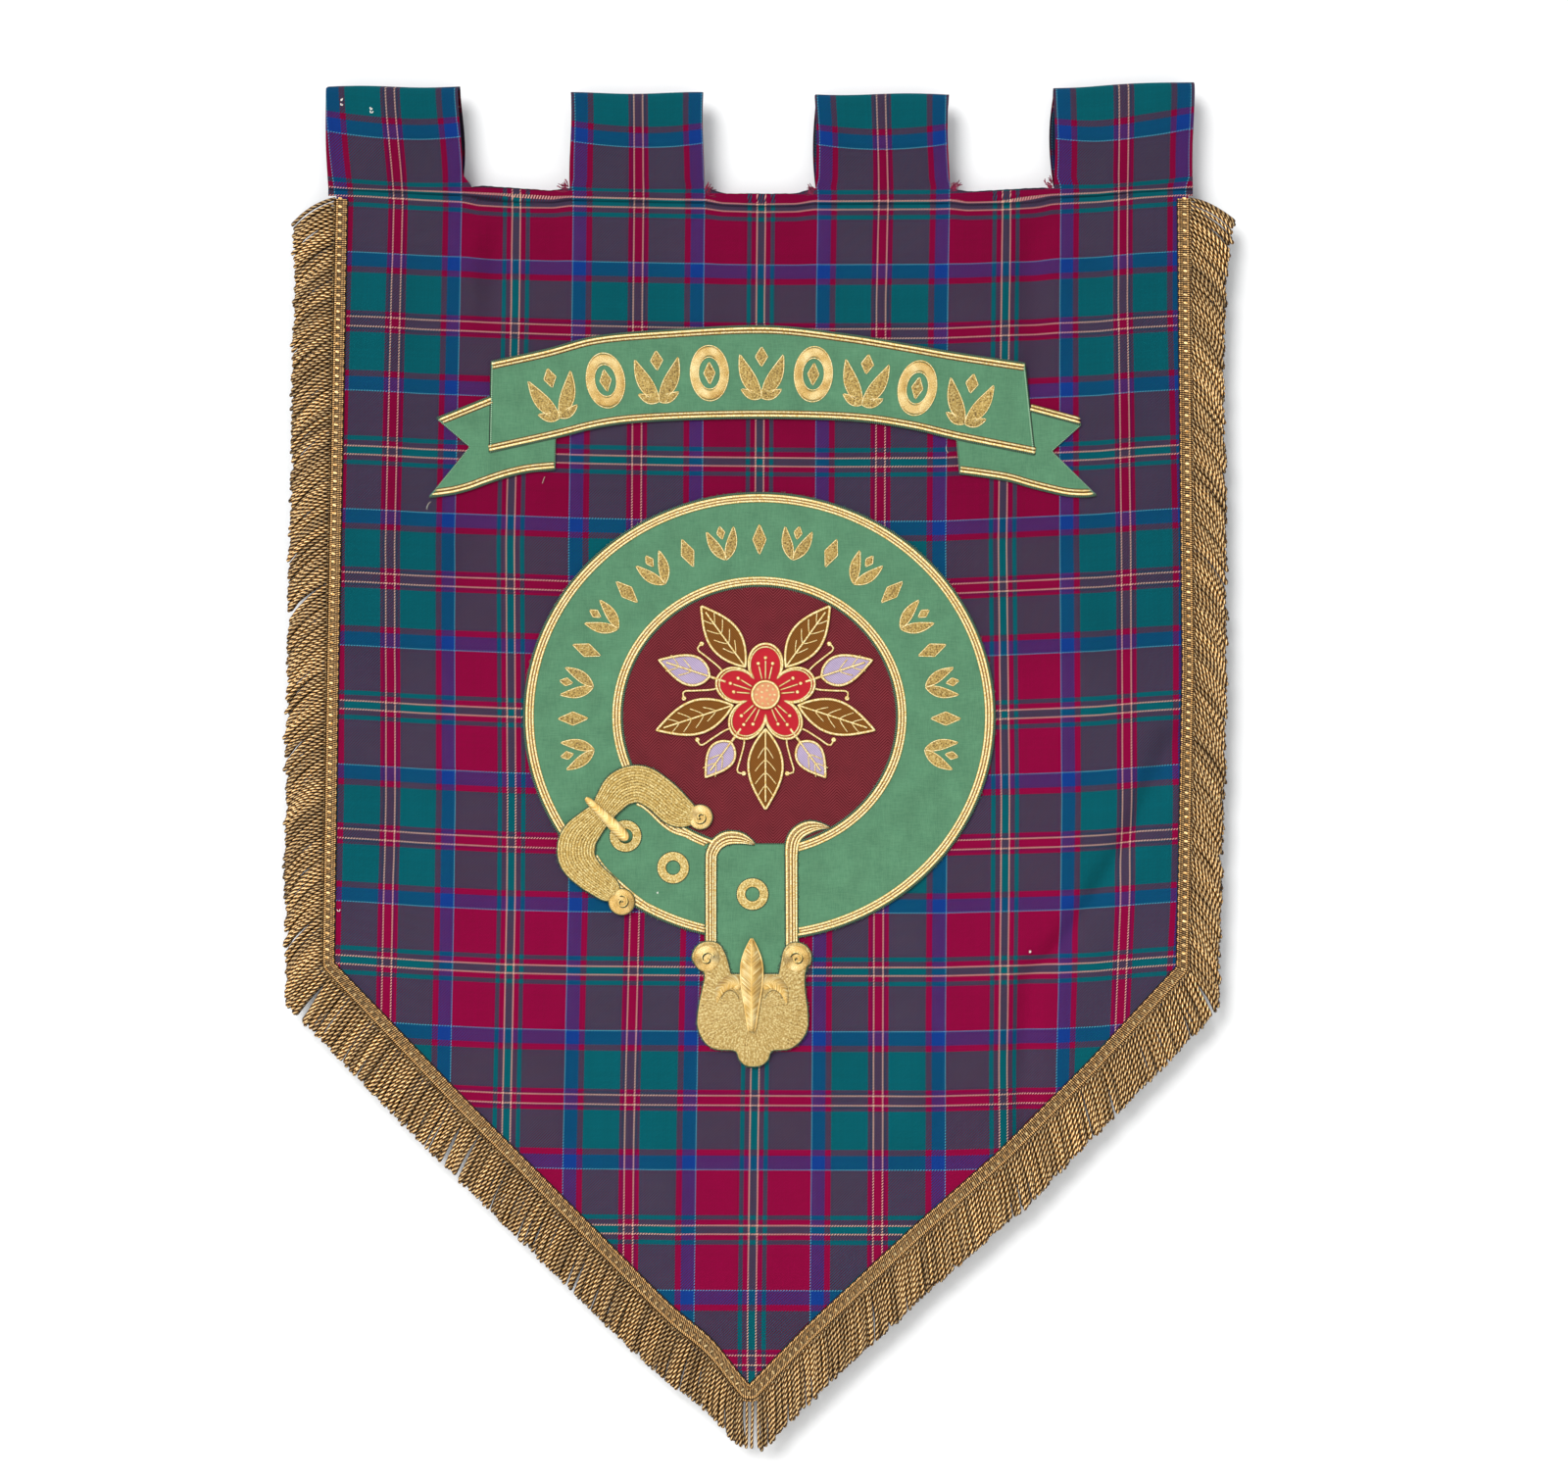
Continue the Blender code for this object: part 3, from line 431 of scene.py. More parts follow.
# The seam below the loops pulls the cloth in and lies in its own shadow
seam = 1.0 - tartan.ease((weft - 0.0105).maths("ABSOLUTE"), 0.002, 0.0125)
seam = seam * (0.55 + 0.75 * tartan.noise(here, 38.0, 1.0))
woven = tartan.tint(woven, tone_and_shade * (1.0 - 0.62 * seam.maths("MINIMUM", 1.0)))
# Painted shade: the rolled-back notch edges and the side edges of the loops' back layers lie in shade, so
# they are darkened towards near-black
painted_edge_shade = tartan.node("Attribute", {"attribute_name": "rolled_edge_shade"})["Fac"]
woven = tartan.mix(0.75 * painted_edge_shade, woven, dye("#1A0A12"))
twill = step.maths("PINGPONG", 2.0) * 0.5 - 2.4 * seam
tartan.dress(Base_Color=woven, Roughness=0.86 + 0.10 * uneven, Normal=tartan.bump(twill, 0.00020, 0.45))

cloth = add_new("woven_cloth", bpy.ops.mesh.primitive_grid_add,
                x_subdivisions=CLOTH_COLUMNS, y_subdivisions=CLOTH_ROWS, size=1.0)
points = places(cloth)
height = CLOTH_TOP + (points[:, 1] - 0.5) * (CLOTH_TOP - CLOTH_TIP)
left, right = (np.interp(-height, [-z for _, z in cut], [x for x, _ in cut])
               for cut in (LEFT_CUT, RIGHT_CUT))
across = left + (right - left) * (points[:, 0] + 0.5)
thread_map(cloth, *thread_places(across, height))
put(cloth, np.stack((across, drape(across, height), height), axis=1))
thicken(cloth)
sew_on(cloth, "tartan", tartan, "banner_cloth")


# The hanging loops. A strip of the same cloth runs along the top, its four tongues folded over to
# the back and sewn down, with raw notched edges between them where threads have worked loose.
STRIP_BOTTOM, STRIP_TOP = -0.0860, -0.0800
LOOPS = (
    # left     right    top      leans    narrows  back shows
    (-0.3395, -0.2345, 0.0000, -0.0023, -0.004, 0.0015),
    (-0.1494, -0.0450, -0.0050, 0.0004, 0.030, 0.0),
    (0.0440, 0.1482, -0.0060, -0.0010, 0.030, -0.0032),
    (0.2306, 0.3396, -0.0006, 0.0006, -0.055, -0.0038),
)
NOTCHES = ((-0.0030, 0.0030), (0.0042, 0.0044), (0.0036, -0.0010))
LOOP_SAG = 0.0040
LOOP_PATH = (
    # y       share of the loop's height
    (0.0, 0.0), (-0.0012, 0.100), (-0.0036, 0.350), (-0.0046, 0.600), (-0.0038, 0.850),
    (-0.0021, 0.955), (0.0012, 0.9906), (0.0045, 0.955), (0.0064, 0.850), (0.0074, 0.600),
    (0.0064, 0.350), (0.0044, 0.120), (0.0032, 0.020),
)
LOOP_STEPS, LOOP_COLUMNS, NOTCH_COLUMNS = 72, 36, 34
ROLLED_ABOVE = 0.45
TOUCH = 1e-5


def smooth_path(path, steps):
    """A soft curve through a few points, in even steps."""
    path = np.array(path, dtype=float)
    ends = np.vstack((2 * path[0] - path[1], path, 2 * path[-1] - path[-2]))
    drawn = []
    for a, b, c, d in zip(ends, ends[1:], ends[2:], ends[3:]):
        for t in np.arange(24) / 24.0:
            drawn.append(0.5 * (2 * b + (c - a) * t + (2 * a - 5 * b + 4 * c - d) * t * t
                                + (3 * b - a - 3 * c + d) * t ** 3))
    drawn = np.array(drawn + [path[-1]])
    gone = np.concatenate(([0.0], np.cumsum(np.linalg.norm(np.diff(drawn, axis=0), axis=1))))
    even = np.linspace(0.0, gone[-1], steps + 1)
    return np.stack([np.interp(even, gone, column) for column in drawn.T], axis=1)


strip_columns = []
for number, (left, right, *_) in enumerate(LOOPS):
    strip_columns += list(np.linspace(left, right, LOOP_COLUMNS))
    if number < len(NOTCHES):
        strip_columns += list(np.linspace(right, LOOPS[number + 1][0], NOTCH_COLUMNS)[1:-1])
last_column = len(strip_columns) - 1
strip = add_new("loop_strip", bpy.ops.mesh.primitive_grid_add,
                x_subdivisions=last_column, y_subdivisions=3, size=1.0)
points = places(strip)
across = np.array(strip_columns)[np.rint((points[:, 0] + 0.5) * last_column).astype(int)]
top, rolled = np.full_like(across, STRIP_TOP), np.zeros_like(across)
for (_, right, *_), (left, *_), (sag_start, sag_end) in zip(LOOPS, LOOPS[1:], NOTCHES):
    share = np.clip((across - right) / (left - right), 0.0, 1.0)
    flat = soften(np.minimum(share, 1.0 - share) / 0.22)
    ragged = 0.00012 * np.sin(across * 900.0) + 0.00010 * np.sin(across * 2100.0 + 1.0)
    top -= np.where(flat > 0, (sag_start + (sag_end - sag_start) * share) * flat + ragged, 0.0)
    rolled = np.maximum(rolled, soften(flat * 4.0))
height = STRIP_BOTTOM + (top - STRIP_BOTTOM) * (points[:, 1] + 0.5)
put(strip, np.stack((across, np.zeros_like(across), height), axis=1))
# The rolled notch edges are marked here for their painted shade
edge_shade = strip.data.attributes.new("rolled_edge_shade", "FLOAT", "POINT")
edge_shade.data.foreach_set("value", rolled * (points[:, 1] > ROLLED_ABOVE))
paths = [smooth_path([(y, STRIP_TOP + share * (top_z - STRIP_TOP)) for y, share in LOOP_PATH], LOOP_STEPS)
         for _, _, top_z, *_ in LOOPS]
for (left, right, *_), path in zip(LOOPS, paths):
    hold(strip)
    turn_to("EDIT")
    bpy.ops.mesh.select_mode(type="EDGE")
    bpy.ops.mesh.select_all(action="DESELECT")
    turn_to("OBJECT")
    points = places(strip)
    on_top = ((np.abs(points[:, 2] - STRIP_TOP) < TOUCH) & (np.abs(points[:, 1]) < TOUCH)
              & (points[:, 0] > left - TOUCH) & (points[:, 0] < right + TOUCH))
    for edge in strip.data.edges:
        edge.select = bool(on_top[edge.vertices[0]] and on_top[edge.vertices[1]])
    turn_to("EDIT")
    for before, after in zip(path, path[1:]):
        bpy.ops.mesh.extrude_edges_move(TRANSFORM_OT_translate={"value": (0.0, *(after - before))})
    turn_to("OBJECT")
points = places(strip)
shown = points.copy()
round_up, pinch, sagging, shaded = (np.zeros(len(points)) for _ in range(4))
for number, ((left, right, top_z, leans, narrows, shows), path) in enumerate(zip(LOOPS, paths)):
    gone = np.concatenate(([0.0], np.cumsum(np.linalg.norm(np.diff(path, axis=0), axis=1))))
    mine = ((points[:, 0] > left - TOUCH) & (points[:, 0] < right + TOUCH)
            & (points[:, 2] >= STRIP_TOP - TOUCH))
    nearest = np.linalg.norm(points[mine][:, None, 1:] - path[None, :, :], axis=2).argmin(axis=1)
    round_up[mine] = gone[nearest] - (path[nearest, 1] - STRIP_TOP)
    share = (points[mine, 0] - left) / (right - left)
    from_middle = 2.0 * share - 1.0
    rise = np.clip((points[mine, 2] - STRIP_TOP) / (top_z - STRIP_TOP), 0.0, 1.0)
    behind = gone[nearest] / gone[-1] > 0.5
    shown[mine, 0] += leans * soften(rise) * np.where(behind, 0.4, 1.0)
    shown[mine, 0] += 0.0007 * np.sin(rise * 5.0 + number) * from_middle
    wedge = np.sin(math.pi * np.clip(rise * 1.1, 0.0, 1.0)) * behind
    shown[mine, 0] += shows * wedge * (0.3 + 0.7 * share if shows > 0 else 1.0 - 0.7 * share)
    pinch[mine] = narrows * (points[mine, 0] - (left + right) / 2) * soften(rise / 0.12)
    sagging[mine] = LOOP_SAG * (0.4 + 0.6 * np.sin(math.pi * rise)) * (1.0 - from_middle ** 2)
    # Painted shade on the back layer's side edges, where it shows beside the loop
    shaded[mine] = 0.9 * behind * (np.abs(from_middle) > 0.78)
    if number == 0:
        flare = 0.0075 * soften((share - 0.86) / 0.14) * (1 - soften(rise / 0.16)) * ~behind
        shown[mine, 0] += flare
        pinch[mine] += flare
    if number == 3:
        shown[mine, 2] += 0.0046 * soften((share - 0.15) / 0.75) * soften((rise - 0.2) / 0.8)
    shown[mine, 1] += 0.0006 * np.sin(share * 9.0 + number * 2.0) * np.sin(rise * math.pi)
    shown[mine, 2] += 0.0007 * np.sin(share * 6.5 + number * 1.7) * soften((rise - 0.6) / 0.4)
thread_map(strip, *thread_places(points[:, 0] + pinch, points[:, 2] + round_up + sagging))
rolled = np.empty(len(points))
edge_shade = strip.data.attributes["rolled_edge_shade"].data
edge_shade.foreach_get("value", rolled)
edge_shade.foreach_set("value", np.maximum(rolled, shaded))
put(strip, shown)
thicken(strip)
sew_on(strip, "tartan", tartan, "tab_strip")


# The fringe. Bullion fringe of gold silk in four lengths: each is a narrow woven heading, sewn
# flat over the cut edge, with twisted cords looped out of it that hang down and outwards.
RUNS = (
    # run, and the points of the heading's inner edge
    ("fringe_left", ((-0.3242, -0.0886), (-0.3311, -0.4558), (-0.3345, -0.6884))),
    ("fringe_lower_left",
     ((-0.3345, -0.6884), (-0.2333, -0.7939), (-0.1201, -0.9071), (-0.0089, -1.0195))),
    ("fringe_lower_right",
     ((-0.0089, -1.0195), (0.0354, -0.9741), (0.1174, -0.8978), (0.1863, -0.8370),
      (0.2572, -0.7662), (0.3265, -0.6915))),
    ("fringe_right", ((0.3265, -0.6915), (0.3311, -0.4558), (0.3273, -0.0886))),
)
HANG = {
    # run                degrees out along it, length at each end, droop, how much they bunch
    "fringe_left": ((60.0, 53.0, 50.0, 48.0, 45.0, 44.0), 0.0405, 0.0425, 14.0, 1.1),
    "fringe_lower_left": ((40.0, 38.6, 27.0, 19.0, 5.0, -2.0), 0.0412, 0.0390, 4.0, 0.7),
    "fringe_lower_right": ((1.0, 1.9, 9.0, 17.0, 24.3, 28.0), 0.0445, 0.0405, 3.0, 0.9),
    "fringe_right": ((36.0, 36.5, 40.0, 43.0, 47.0, 60.0), 0.0405, 0.0405, 13.0, 1.1),
}
HANG_AT = (0.0, 0.05, 0.45, 0.85, 0.95, 1.0)
PARTINGS = {
    # run                where along it the cords part, and by how many degrees
    "fringe_left": ((0.22, 3.0), (0.50, 3.0), (0.93, 4.0)),
    "fringe_lower_left": ((0.02, 5.0), (0.345, 5.5), (0.375, 4.0), (0.400, 3.0), (0.64, 3.0)),
    "fringe_lower_right": ((0.12, 2.5), (0.27, 3.0), (0.66, 2.5)),
    "fringe_right": ((0.30, 3.0), (0.55, 2.5)),
}
CORD_PITCH = 0.0034
CORD_HALF = 0.00145
CORD_SIDES = 8
CORD_RINGS = 13
HEADING_BACK = -0.00105
SCALLOP = 0.00630
# The lanes that lie lower in the braid have low tones: painted shade in its grooves
HEADING = (
    # from the inner edge, forward, tone
    (0.0002, -0.00120, 0.50), (0.0005, -0.00225, 1.15), (0.0012, -0.00260, 1.20), (0.0015, -0.00215, 0.22),
    (0.0034, -0.00235, 0.80), (0.0037, -0.00215, 0.30), (0.0055, -0.00245, 0.62), (0.0071, -0.00215, 0.30),
    (0.0074, -0.00250, 0.95), (0.0087, -0.00245, 0.95), (0.0090, -0.00185, 0.02), (0.0095, -0.00185, 0.02),
    (0.0098, -0.00250, 0.95), (0.0108, -0.00215, 0.75),
)
HEADING_MIDDLE, HEADING_FRONT, HEADING_STEP = 0.0056, -0.0027, 0.0009
# The back row is darker: painted shade behind the front row of cords
CORD_ROWS = (
    # depth    pitch  length  darkest  palest
    (-0.0010, 0.9, 0.99, 0.22, 0.60),
    (-0.0026, 1.0, 1.0, 0.55, 1.25),
)
DASH_PALEST = {
    "fringe_left": 1.30, "fringe_lower_left": 0.58, "fringe_lower_right": 0.58, "fringe_right": 1.30,
}
# Near the tip the heading is wider, and the lower left one is pulled up a little
TIP_WIDENING, PULLED_UP, PULLED_AT, PULLED_OVER, PULL_WAY = 0.26, 0.0042, 0.90, 0.06, np.array((0.71, 0.70))
TIP_MIDDLE, TIP_GAP = -0.0073, 0.0072
TIP_STRANDS, TIP_REACH, TIP_HALF = (-0.0108, -0.0062, -0.0016), 0.0385, 0.00112
chance = random.Random(7)

gold_silk = Finish("gold_silk_cord", Specular_IOR_Level=0.3)
around, along, tone = gold_silk.thread()
mottle = gold_silk.noise(gold_silk.place(), 700.0, 3.0) - 0.5
# The plies: painted shade in the grooves between them and on the sides of the round cord, and a painted
# highlight where they glint
ply = (around * 2.8 + along / 0.00430).wave() + 0.45 * (around * (2 * math.pi)).maths("SINE")
groove = gold_silk.ease(ply + 0.30 * mottle, 0.70, 1.04)
glint = gold_silk.ease(ply + 0.4 * mottle, 1.10, 1.38)
silk = gold_silk.gild(groove, glint, "#1C0C02", "#C4883A", "#FFE9B4")
gold_silk.dress(Base_Color=gold_silk.tint(silk, 0.05 + 1.02 * tone + 0.35 * mottle * tone),
                Roughness=0.62 - 0.22 * glint, Normal=gold_silk.bump(groove, 0.0005))

gold_braid = Finish("gold_braid_heading", Specular_IOR_Level=0.3)
along, _, tone = gold_braid.thread()
mottle = gold_braid.noise(gold_braid.place(), 700.0, 3.0) - 0.5
rib = (along / 0.00165 + 0.35 * mottle).wave()
# Painted shade in the troughs between the ribs and a painted highlight on their tops
raised = gold_braid.ease(rib, 0.28, 0.62)
glint = gold_braid.ease(rib + 0.5 * mottle, 0.68, 1.0)
ribs = gold_braid.gild(raised, glint, "#2A1404", "#C98A3C", "#FFE0A2")
gold_braid.dress(Base_Color=gold_braid.tint(ribs, 0.04 + 1.10 * tone), Roughness=0.66 - 0.2 * glint,
                 Normal=gold_braid.bump(raised, 0.0004))


class Batch:
    """Many small shapes gathered into one mesh, with a map along the thread and a tone for each."""

    def __init__(self):
        self.points, self.faces, self.corner_map, self.tones, self.size = [], [], [], [], 0

    def add(self, points, faces, corner_map, tone):
        self.points.append(points)
        self.faces += [tuple(corner + self.size for corner in face) for face in faces]
        self.corner_map.append(corner_map)
        self.tones.append(np.broadcast_to(np.asarray(tone, dtype=float), (len(points),)))
        self.size += len(points)

    def sew(self, name, slot, finish, *nodes):
        mesh = bpy.data.meshes.new(name)
        mesh.from_pydata(np.vstack(self.points).tolist(), [], self.faces)
        mesh.uv_layers.new(name="ply").data.foreach_set("uv", np.vstack(self.corner_map).ravel())
        mesh.attributes.new("tone", "FLOAT", "POINT").data.foreach_set("value", np.concatenate(self.tones))
        mesh.shade_smooth()
        piece = bpy.data.objects.new(name, mesh)
        bpy.context.scene.collection.objects.link(piece)
        sew_on(piece, slot, finish, *nodes)


def run_on(line, halves, section, closed=False):
    """Carry a section along a line, its width scaled by the halves: points, faces and map.

    The section is a ring of (across, forward) pairs, where across is a share of the half width
    and forward is in metres, or a share of it too for a round cord.
    """
    line = np.asarray(line, dtype=float)
    halves = np.broadcast_to(np.asarray(halves, dtype=float), (len(line),))[:, None]
    if closed:
        way = np.roll(line, -1, axis=0) - np.roll(line, 1, axis=0)
    else:
        way = np.gradient(line, axis=0)
    side_way = np.cross(way, (0.0, -1.0, 0.0))
    side_way /= np.linalg.norm(side_way, axis=1, keepdims=True)
    rise = np.cross(side_way, way / np.linalg.norm(way, axis=1, keepdims=True))
    across, forward, round_share = section
    forward = forward * (halves if round_share else 1.0)
    points = (line[:, None, :] + side_way[:, None, :] * (across * halves)[:, :, None]
              + rise[:, None, :] * np.broadcast_to(forward, (len(line), len(across)))[:, :, None])
    gone = np.concatenate(([0.0], np.cumsum(np.linalg.norm(np.diff(line, axis=0), axis=1))))
    sides, faces, corner_map = len(across), [], []
    for a in range(len(line) if closed else len(line) - 1):
        b = (a + 1) % len(line)
        end = gone[b] if b else gone[-1] + np.linalg.norm(line[0] - line[-1])
        for corner in range(sides):
            following = (corner + 1) % sides
            faces.append((a * sides + corner, b * sides + corner,
                          b * sides + following, a * sides + following))
            if round_share:
                u, v = corner / sides, (corner + 1) / sides
                corner_map += [(u, gone[a]), (u, end), (v, end), (v, gone[a])]
            else:
                u, v = across[corner], across[following]
                corner_map += [(u * halves[a, 0], gone[a]), (u * halves[b, 0], end),
                               (v * halves[b, 0], end), (v * halves[a, 0], gone[a])]
    if not closed:
        faces += [tuple(range(sides)), tuple(range(len(line) * sides - sides, len(line) * sides))[::-1]]
        corner_map += [(0.25, gone[0])] * sides + [(0.25, gone[-1])] * sides
    return points.reshape(-1, 3), faces, np.array(corner_map)


def round_section(sides, flat=1.0):
    turn = 2 * math.pi * np.arange(sides) / sides
    return np.cos(turn), np.sin(turn) * flat, True


def heading_line(distance):
    """A line beside the whole inner edge of the heading, round its corners, run by run."""
    whole_line = np.array([RUNS[0][1][0]] + [point for _, inner in RUNS for point in inner[1:]])
    ways = np.diff(whole_line, axis=0)
    turns = np.unwrap(np.arctan2(-ways[:, 0], ways[:, 1]))
    before, after = np.append(turns[0], turns), np.append(turns, turns[-1])
    runs, first = {}, 0
    for name, inner in RUNS:
        drawn = []
        for number, point in enumerate(inner):
            start, end = before[first + number], after[first + number]
            start = (start + end) / 2 if number == 0 else start
            end = (before[first + number] + end) / 2 if number == len(inner) - 1 else end
            for turn in np.linspace(start, end, 7 if abs(end - start) > 0.3 else 2):
                drawn.append((point[0] + distance * math.cos(turn), point[1] + distance * math.sin(turn)))
        runs[name] = np.array(drawn)
        first += len(inner) - 1
    return runs


def spread(line, count=None, gap=None):
    """Evenly spaced places along a line, the way it runs there, and its length."""
    line = np.asarray(line, dtype=float)
    steps = np.linalg.norm(np.diff(line, axis=0), axis=1)
    line, steps = line[np.append(True, steps > 1e-9)], steps[steps > 1e-9]
    gone = np.concatenate(([0.0], np.cumsum(steps)))
    at = np.linspace(0.0, gone[-1], count or max(2, int(gone[-1] / gap) + 1))
    found = np.stack([np.interp(at, gone, column) for column in line.T], axis=1)
    index = np.clip(np.searchsorted(gone, at, side="right") - 1, 0, len(line) - 2)
    ways = np.diff(line, axis=0)[index]
    return found, ways / np.linalg.norm(ways, axis=1, keepdims=True), gone[-1]


def in_front(flat, forward):
    """Points (x, z) of the banner's face, set forward to a depth."""
    flat = np.asarray(flat, dtype=float)
    return np.stack((flat[:, 0], np.broadcast_to(forward, len(flat)), flat[:, 1]), axis=1)


def place_all(points, spots, turns):
    """Copies of one small shape, turned in the banner's face, one at each spot."""
    cos, sin = np.cos(turns)[:, None], np.sin(turns)[:, None]
    x, z = points[None, :, 0], points[None, :, 2]
    turned = np.stack((x * cos - z * sin, np.broadcast_to(points[:, 1], (len(spots), len(points))),
                       x * sin + z * cos), axis=2)
    return turned + spots[:, None, :]


cord_section = round_section(CORD_SIDES)
part = np.linspace(-1.0, 1.0, 6)
dash = run_on(np.stack((0.0005 * part, -0.0003 * (1.0 - part ** 2), 0.0017 * part), axis=1),
              0.00090 * (1.04 - part ** 4) ** 0.5, round_section(6, 0.6))


def lane_of(name, offset, **how):
    """A line along the heading at its distance from the inner edge, wider towards the tip."""
    lane, ways, length = spread(heading_line(offset)[name], **how)
    edge = spread(heading_line(0.0)[name], count=len(lane))[0]
    share = np.linspace(0.0, 1.0, len(lane))[:, None]
    near_tip = {"fringe_lower_left": share, "fringe_lower_right": 1.0 - share}.get(name, 0.0 * share)
    lane = edge + (lane - edge) * (1.0 + TIP_WIDENING * near_tip)
    if name == "fringe_lower_left":
        lane += PULL_WAY * PULLED_UP * np.exp(-((share - PULLED_AT) / PULLED_OVER) ** 2)
    return lane, ways, length


def cord(x, z, depth, hang, bend, size, half, tone_and_shade):
    """One twisted cord: it leaves the heading at an angle, droops and ends in a round loop."""
    part = np.linspace(0.0, 1.0, CORD_RINGS)
    part[-3:] = (0.93, 0.975, 1.0)
    way = np.radians(hang + bend * (1.0 - 2.0 * part))
    steps = np.diff(part, prepend=0.0)[:, None] * size
    line = np.cumsum(np.stack((np.sin(way), 0.0 * way, -np.cos(way)), axis=1) * steps, axis=0)
    wave = 0.0005 * np.sin(part * chance.uniform(3.0, 8.0) + chance.uniform(0.0, 6.0)) * part
    belly = chance.uniform(-0.0003, 0.0006)
    forward = depth + 0.0006 * part - belly * np.sin(math.pi * part)
    line += np.stack((x + wave, forward, z + 0.4 * wave), axis=1)
    halves = half * np.ones(CORD_RINGS)
    halves[:2] *= (0.75, 0.92)
    halves[-4:] *= (1.04, 1.16, 1.05, 0.5)
    points, faces, corner_map = run_on(line, halves, cord_section)
    # Each cord is darker where it leaves the heading and towards its loop
    darker_ends = np.repeat(tone_and_shade * np.interp(part, (0.0, 0.12, 0.85, 1.0), (0.55, 1.0, 1.0, 0.75)), CORD_SIDES)
    batch.add(points, faces, corner_map + (0.0, chance.random() * 0.01), darker_ends)


for name, inner in RUNS:
    angles, reach_start, reach_end, droop, bunch = HANG[name]
    outward = -1.0 if "left" in name else 1.0
    batch = Batch()
    for depth, pitch, lengthen, darkest, palest in CORD_ROWS:
        roots, _, length = lane_of(name, HEADING[-3][0], gap=CORD_PITCH * pitch)
        clump = 0.0
        for (x, z), share in zip(roots, np.arange(len(roots)) / (len(roots) - 1)):
            clump = 0.80 * clump + chance.gauss(0.0, 1.0)
            hang = float(np.interp(share, HANG_AT, angles)) + bunch * clump + chance.gauss(0.0, 1.0)
            for at, degrees in PARTINGS[name]:
                away = share - at
                hang += outward * degrees * math.copysign(math.exp(-abs(away) / 0.010), away)
            from_top = {"fringe_left": share, "fringe_right": 1.0 - share}.get(name, 1.0)
            from_tip = {"fringe_lower_left": 1.0 - share, "fringe_lower_right": share}.get(name, 0.55)
            bend = (droop + 3.0 * math.exp(-from_top / 0.03)) * chance.uniform(0.8, 1.2)
            bend += chance.uniform(-1.5, 1.5)
            size = (reach_start + (reach_end - reach_start) * share) * lengthen * chance.uniform(0.97, 1.025)
            if chance.random() < 0.02:
                size *= 0.92
            if abs(x - TIP_MIDDLE) > TIP_GAP:
                half = CORD_HALF * chance.uniform(0.90, 1.04)
                cord(x, z, depth, outward * hang, outward * bend, size, half,
                     chance.uniform(darkest, palest) * (0.80 + 0.36 * from_tip))
    if name == "fringe_lower_right":
        for x in TIP_STRANDS:
            cord(x, inner[0][1] - 0.0118, -0.0022, chance.uniform(-1.0, 1.0), 0.0, TIP_REACH, TIP_HALF, 0.95)
    # A near-black thread along the heading's inner edge: a painted shadow of the heading on the cloth
    heading_shadow_line = in_front(lane_of(name, -0.0001, gap=0.004)[0], -0.0010)

    # The heading: its lanes from edge to edge, waved by the loops woven along it
    count = int(length / HEADING_STEP)
    along = np.arange(count) * length / (count - 1)
    offsets, forwards, lane_tones = zip(*HEADING)
    lanes = [lane_of(name, offset, count=count)[0] for offset in offsets]
    outwards = (lanes[-1] - lanes[0]) / np.linalg.norm(lanes[-1] - lanes[0], axis=1, keepdims=True)
    scallop = 0.0006 * np.abs(np.cos(math.pi * along / SCALLOP)) ** 3
    for lane, share in ((0, 1.0), (1, 1.0), (2, 0.4)):
        lanes[lane] = lanes[lane] + outwards * share * scallop[:, None]
    lanes = [in_front(lane, forward) for lane, forward in
             zip((lanes[-1], lanes[0], *lanes), (HEADING_BACK, HEADING_BACK, *forwards))]
    widths, wide = (offsets[-1], offsets[0], *offsets), len(lanes)
    tones = np.tile((0.5, 0.4, *lane_tones), (count, 1))
    wave = np.abs(np.sin(math.pi * along / SCALLOP))[:, None]
    tones[:, 2:7] *= 0.45 + 0.70 * wave ** 0.6
    tones[:, 7:10] *= 1.35 - 0.90 * wave
    faces, corner_map = [], []
    for a in range(count - 1):
        u, v = along[a], along[a + 1]
        for lane in range(wide):
            following, low, high = (lane + 1) % wide, a * wide, (a + 1) * wide
            faces.append((low + lane, low + following, high + following, high + lane))
            p, q = widths[lane], widths[following]
            corner_map += [(u, p), (u, q), (v, q), (v, p)]
    faces += [tuple(range(wide))[::-1], tuple(range((count - 1) * wide, count * wide))]
    corner_map += [(0.0, 0.0)] * 2 * wide
    heading = Batch()
    heading.add(np.stack(lanes, axis=1).reshape(-1, 3), faces, np.array(corner_map), tones.ravel())
    points, faces, corner_map = dash
    spots, ways, _ = lane_of(name, HEADING_MIDDLE, gap=SCALLOP)
    turns = np.arctan2(ways[:, 1], ways[:, 0])
    for copy in place_all(points, in_front(spots, HEADING_FRONT), turns):
        heading.add(copy, faces, corner_map * 0.0 + 0.00072, DASH_PALEST[name] * chance.uniform(0.6, 1.0))
    heading.sew(name + "_heading", "gold_trim", gold_braid)
    batch.add(*run_on(heading_shadow_line, 0.00042, round_section(6, 0.7)), -0.02)
    batch.sew(name + "_cords", "gold_trim", gold_silk, name)


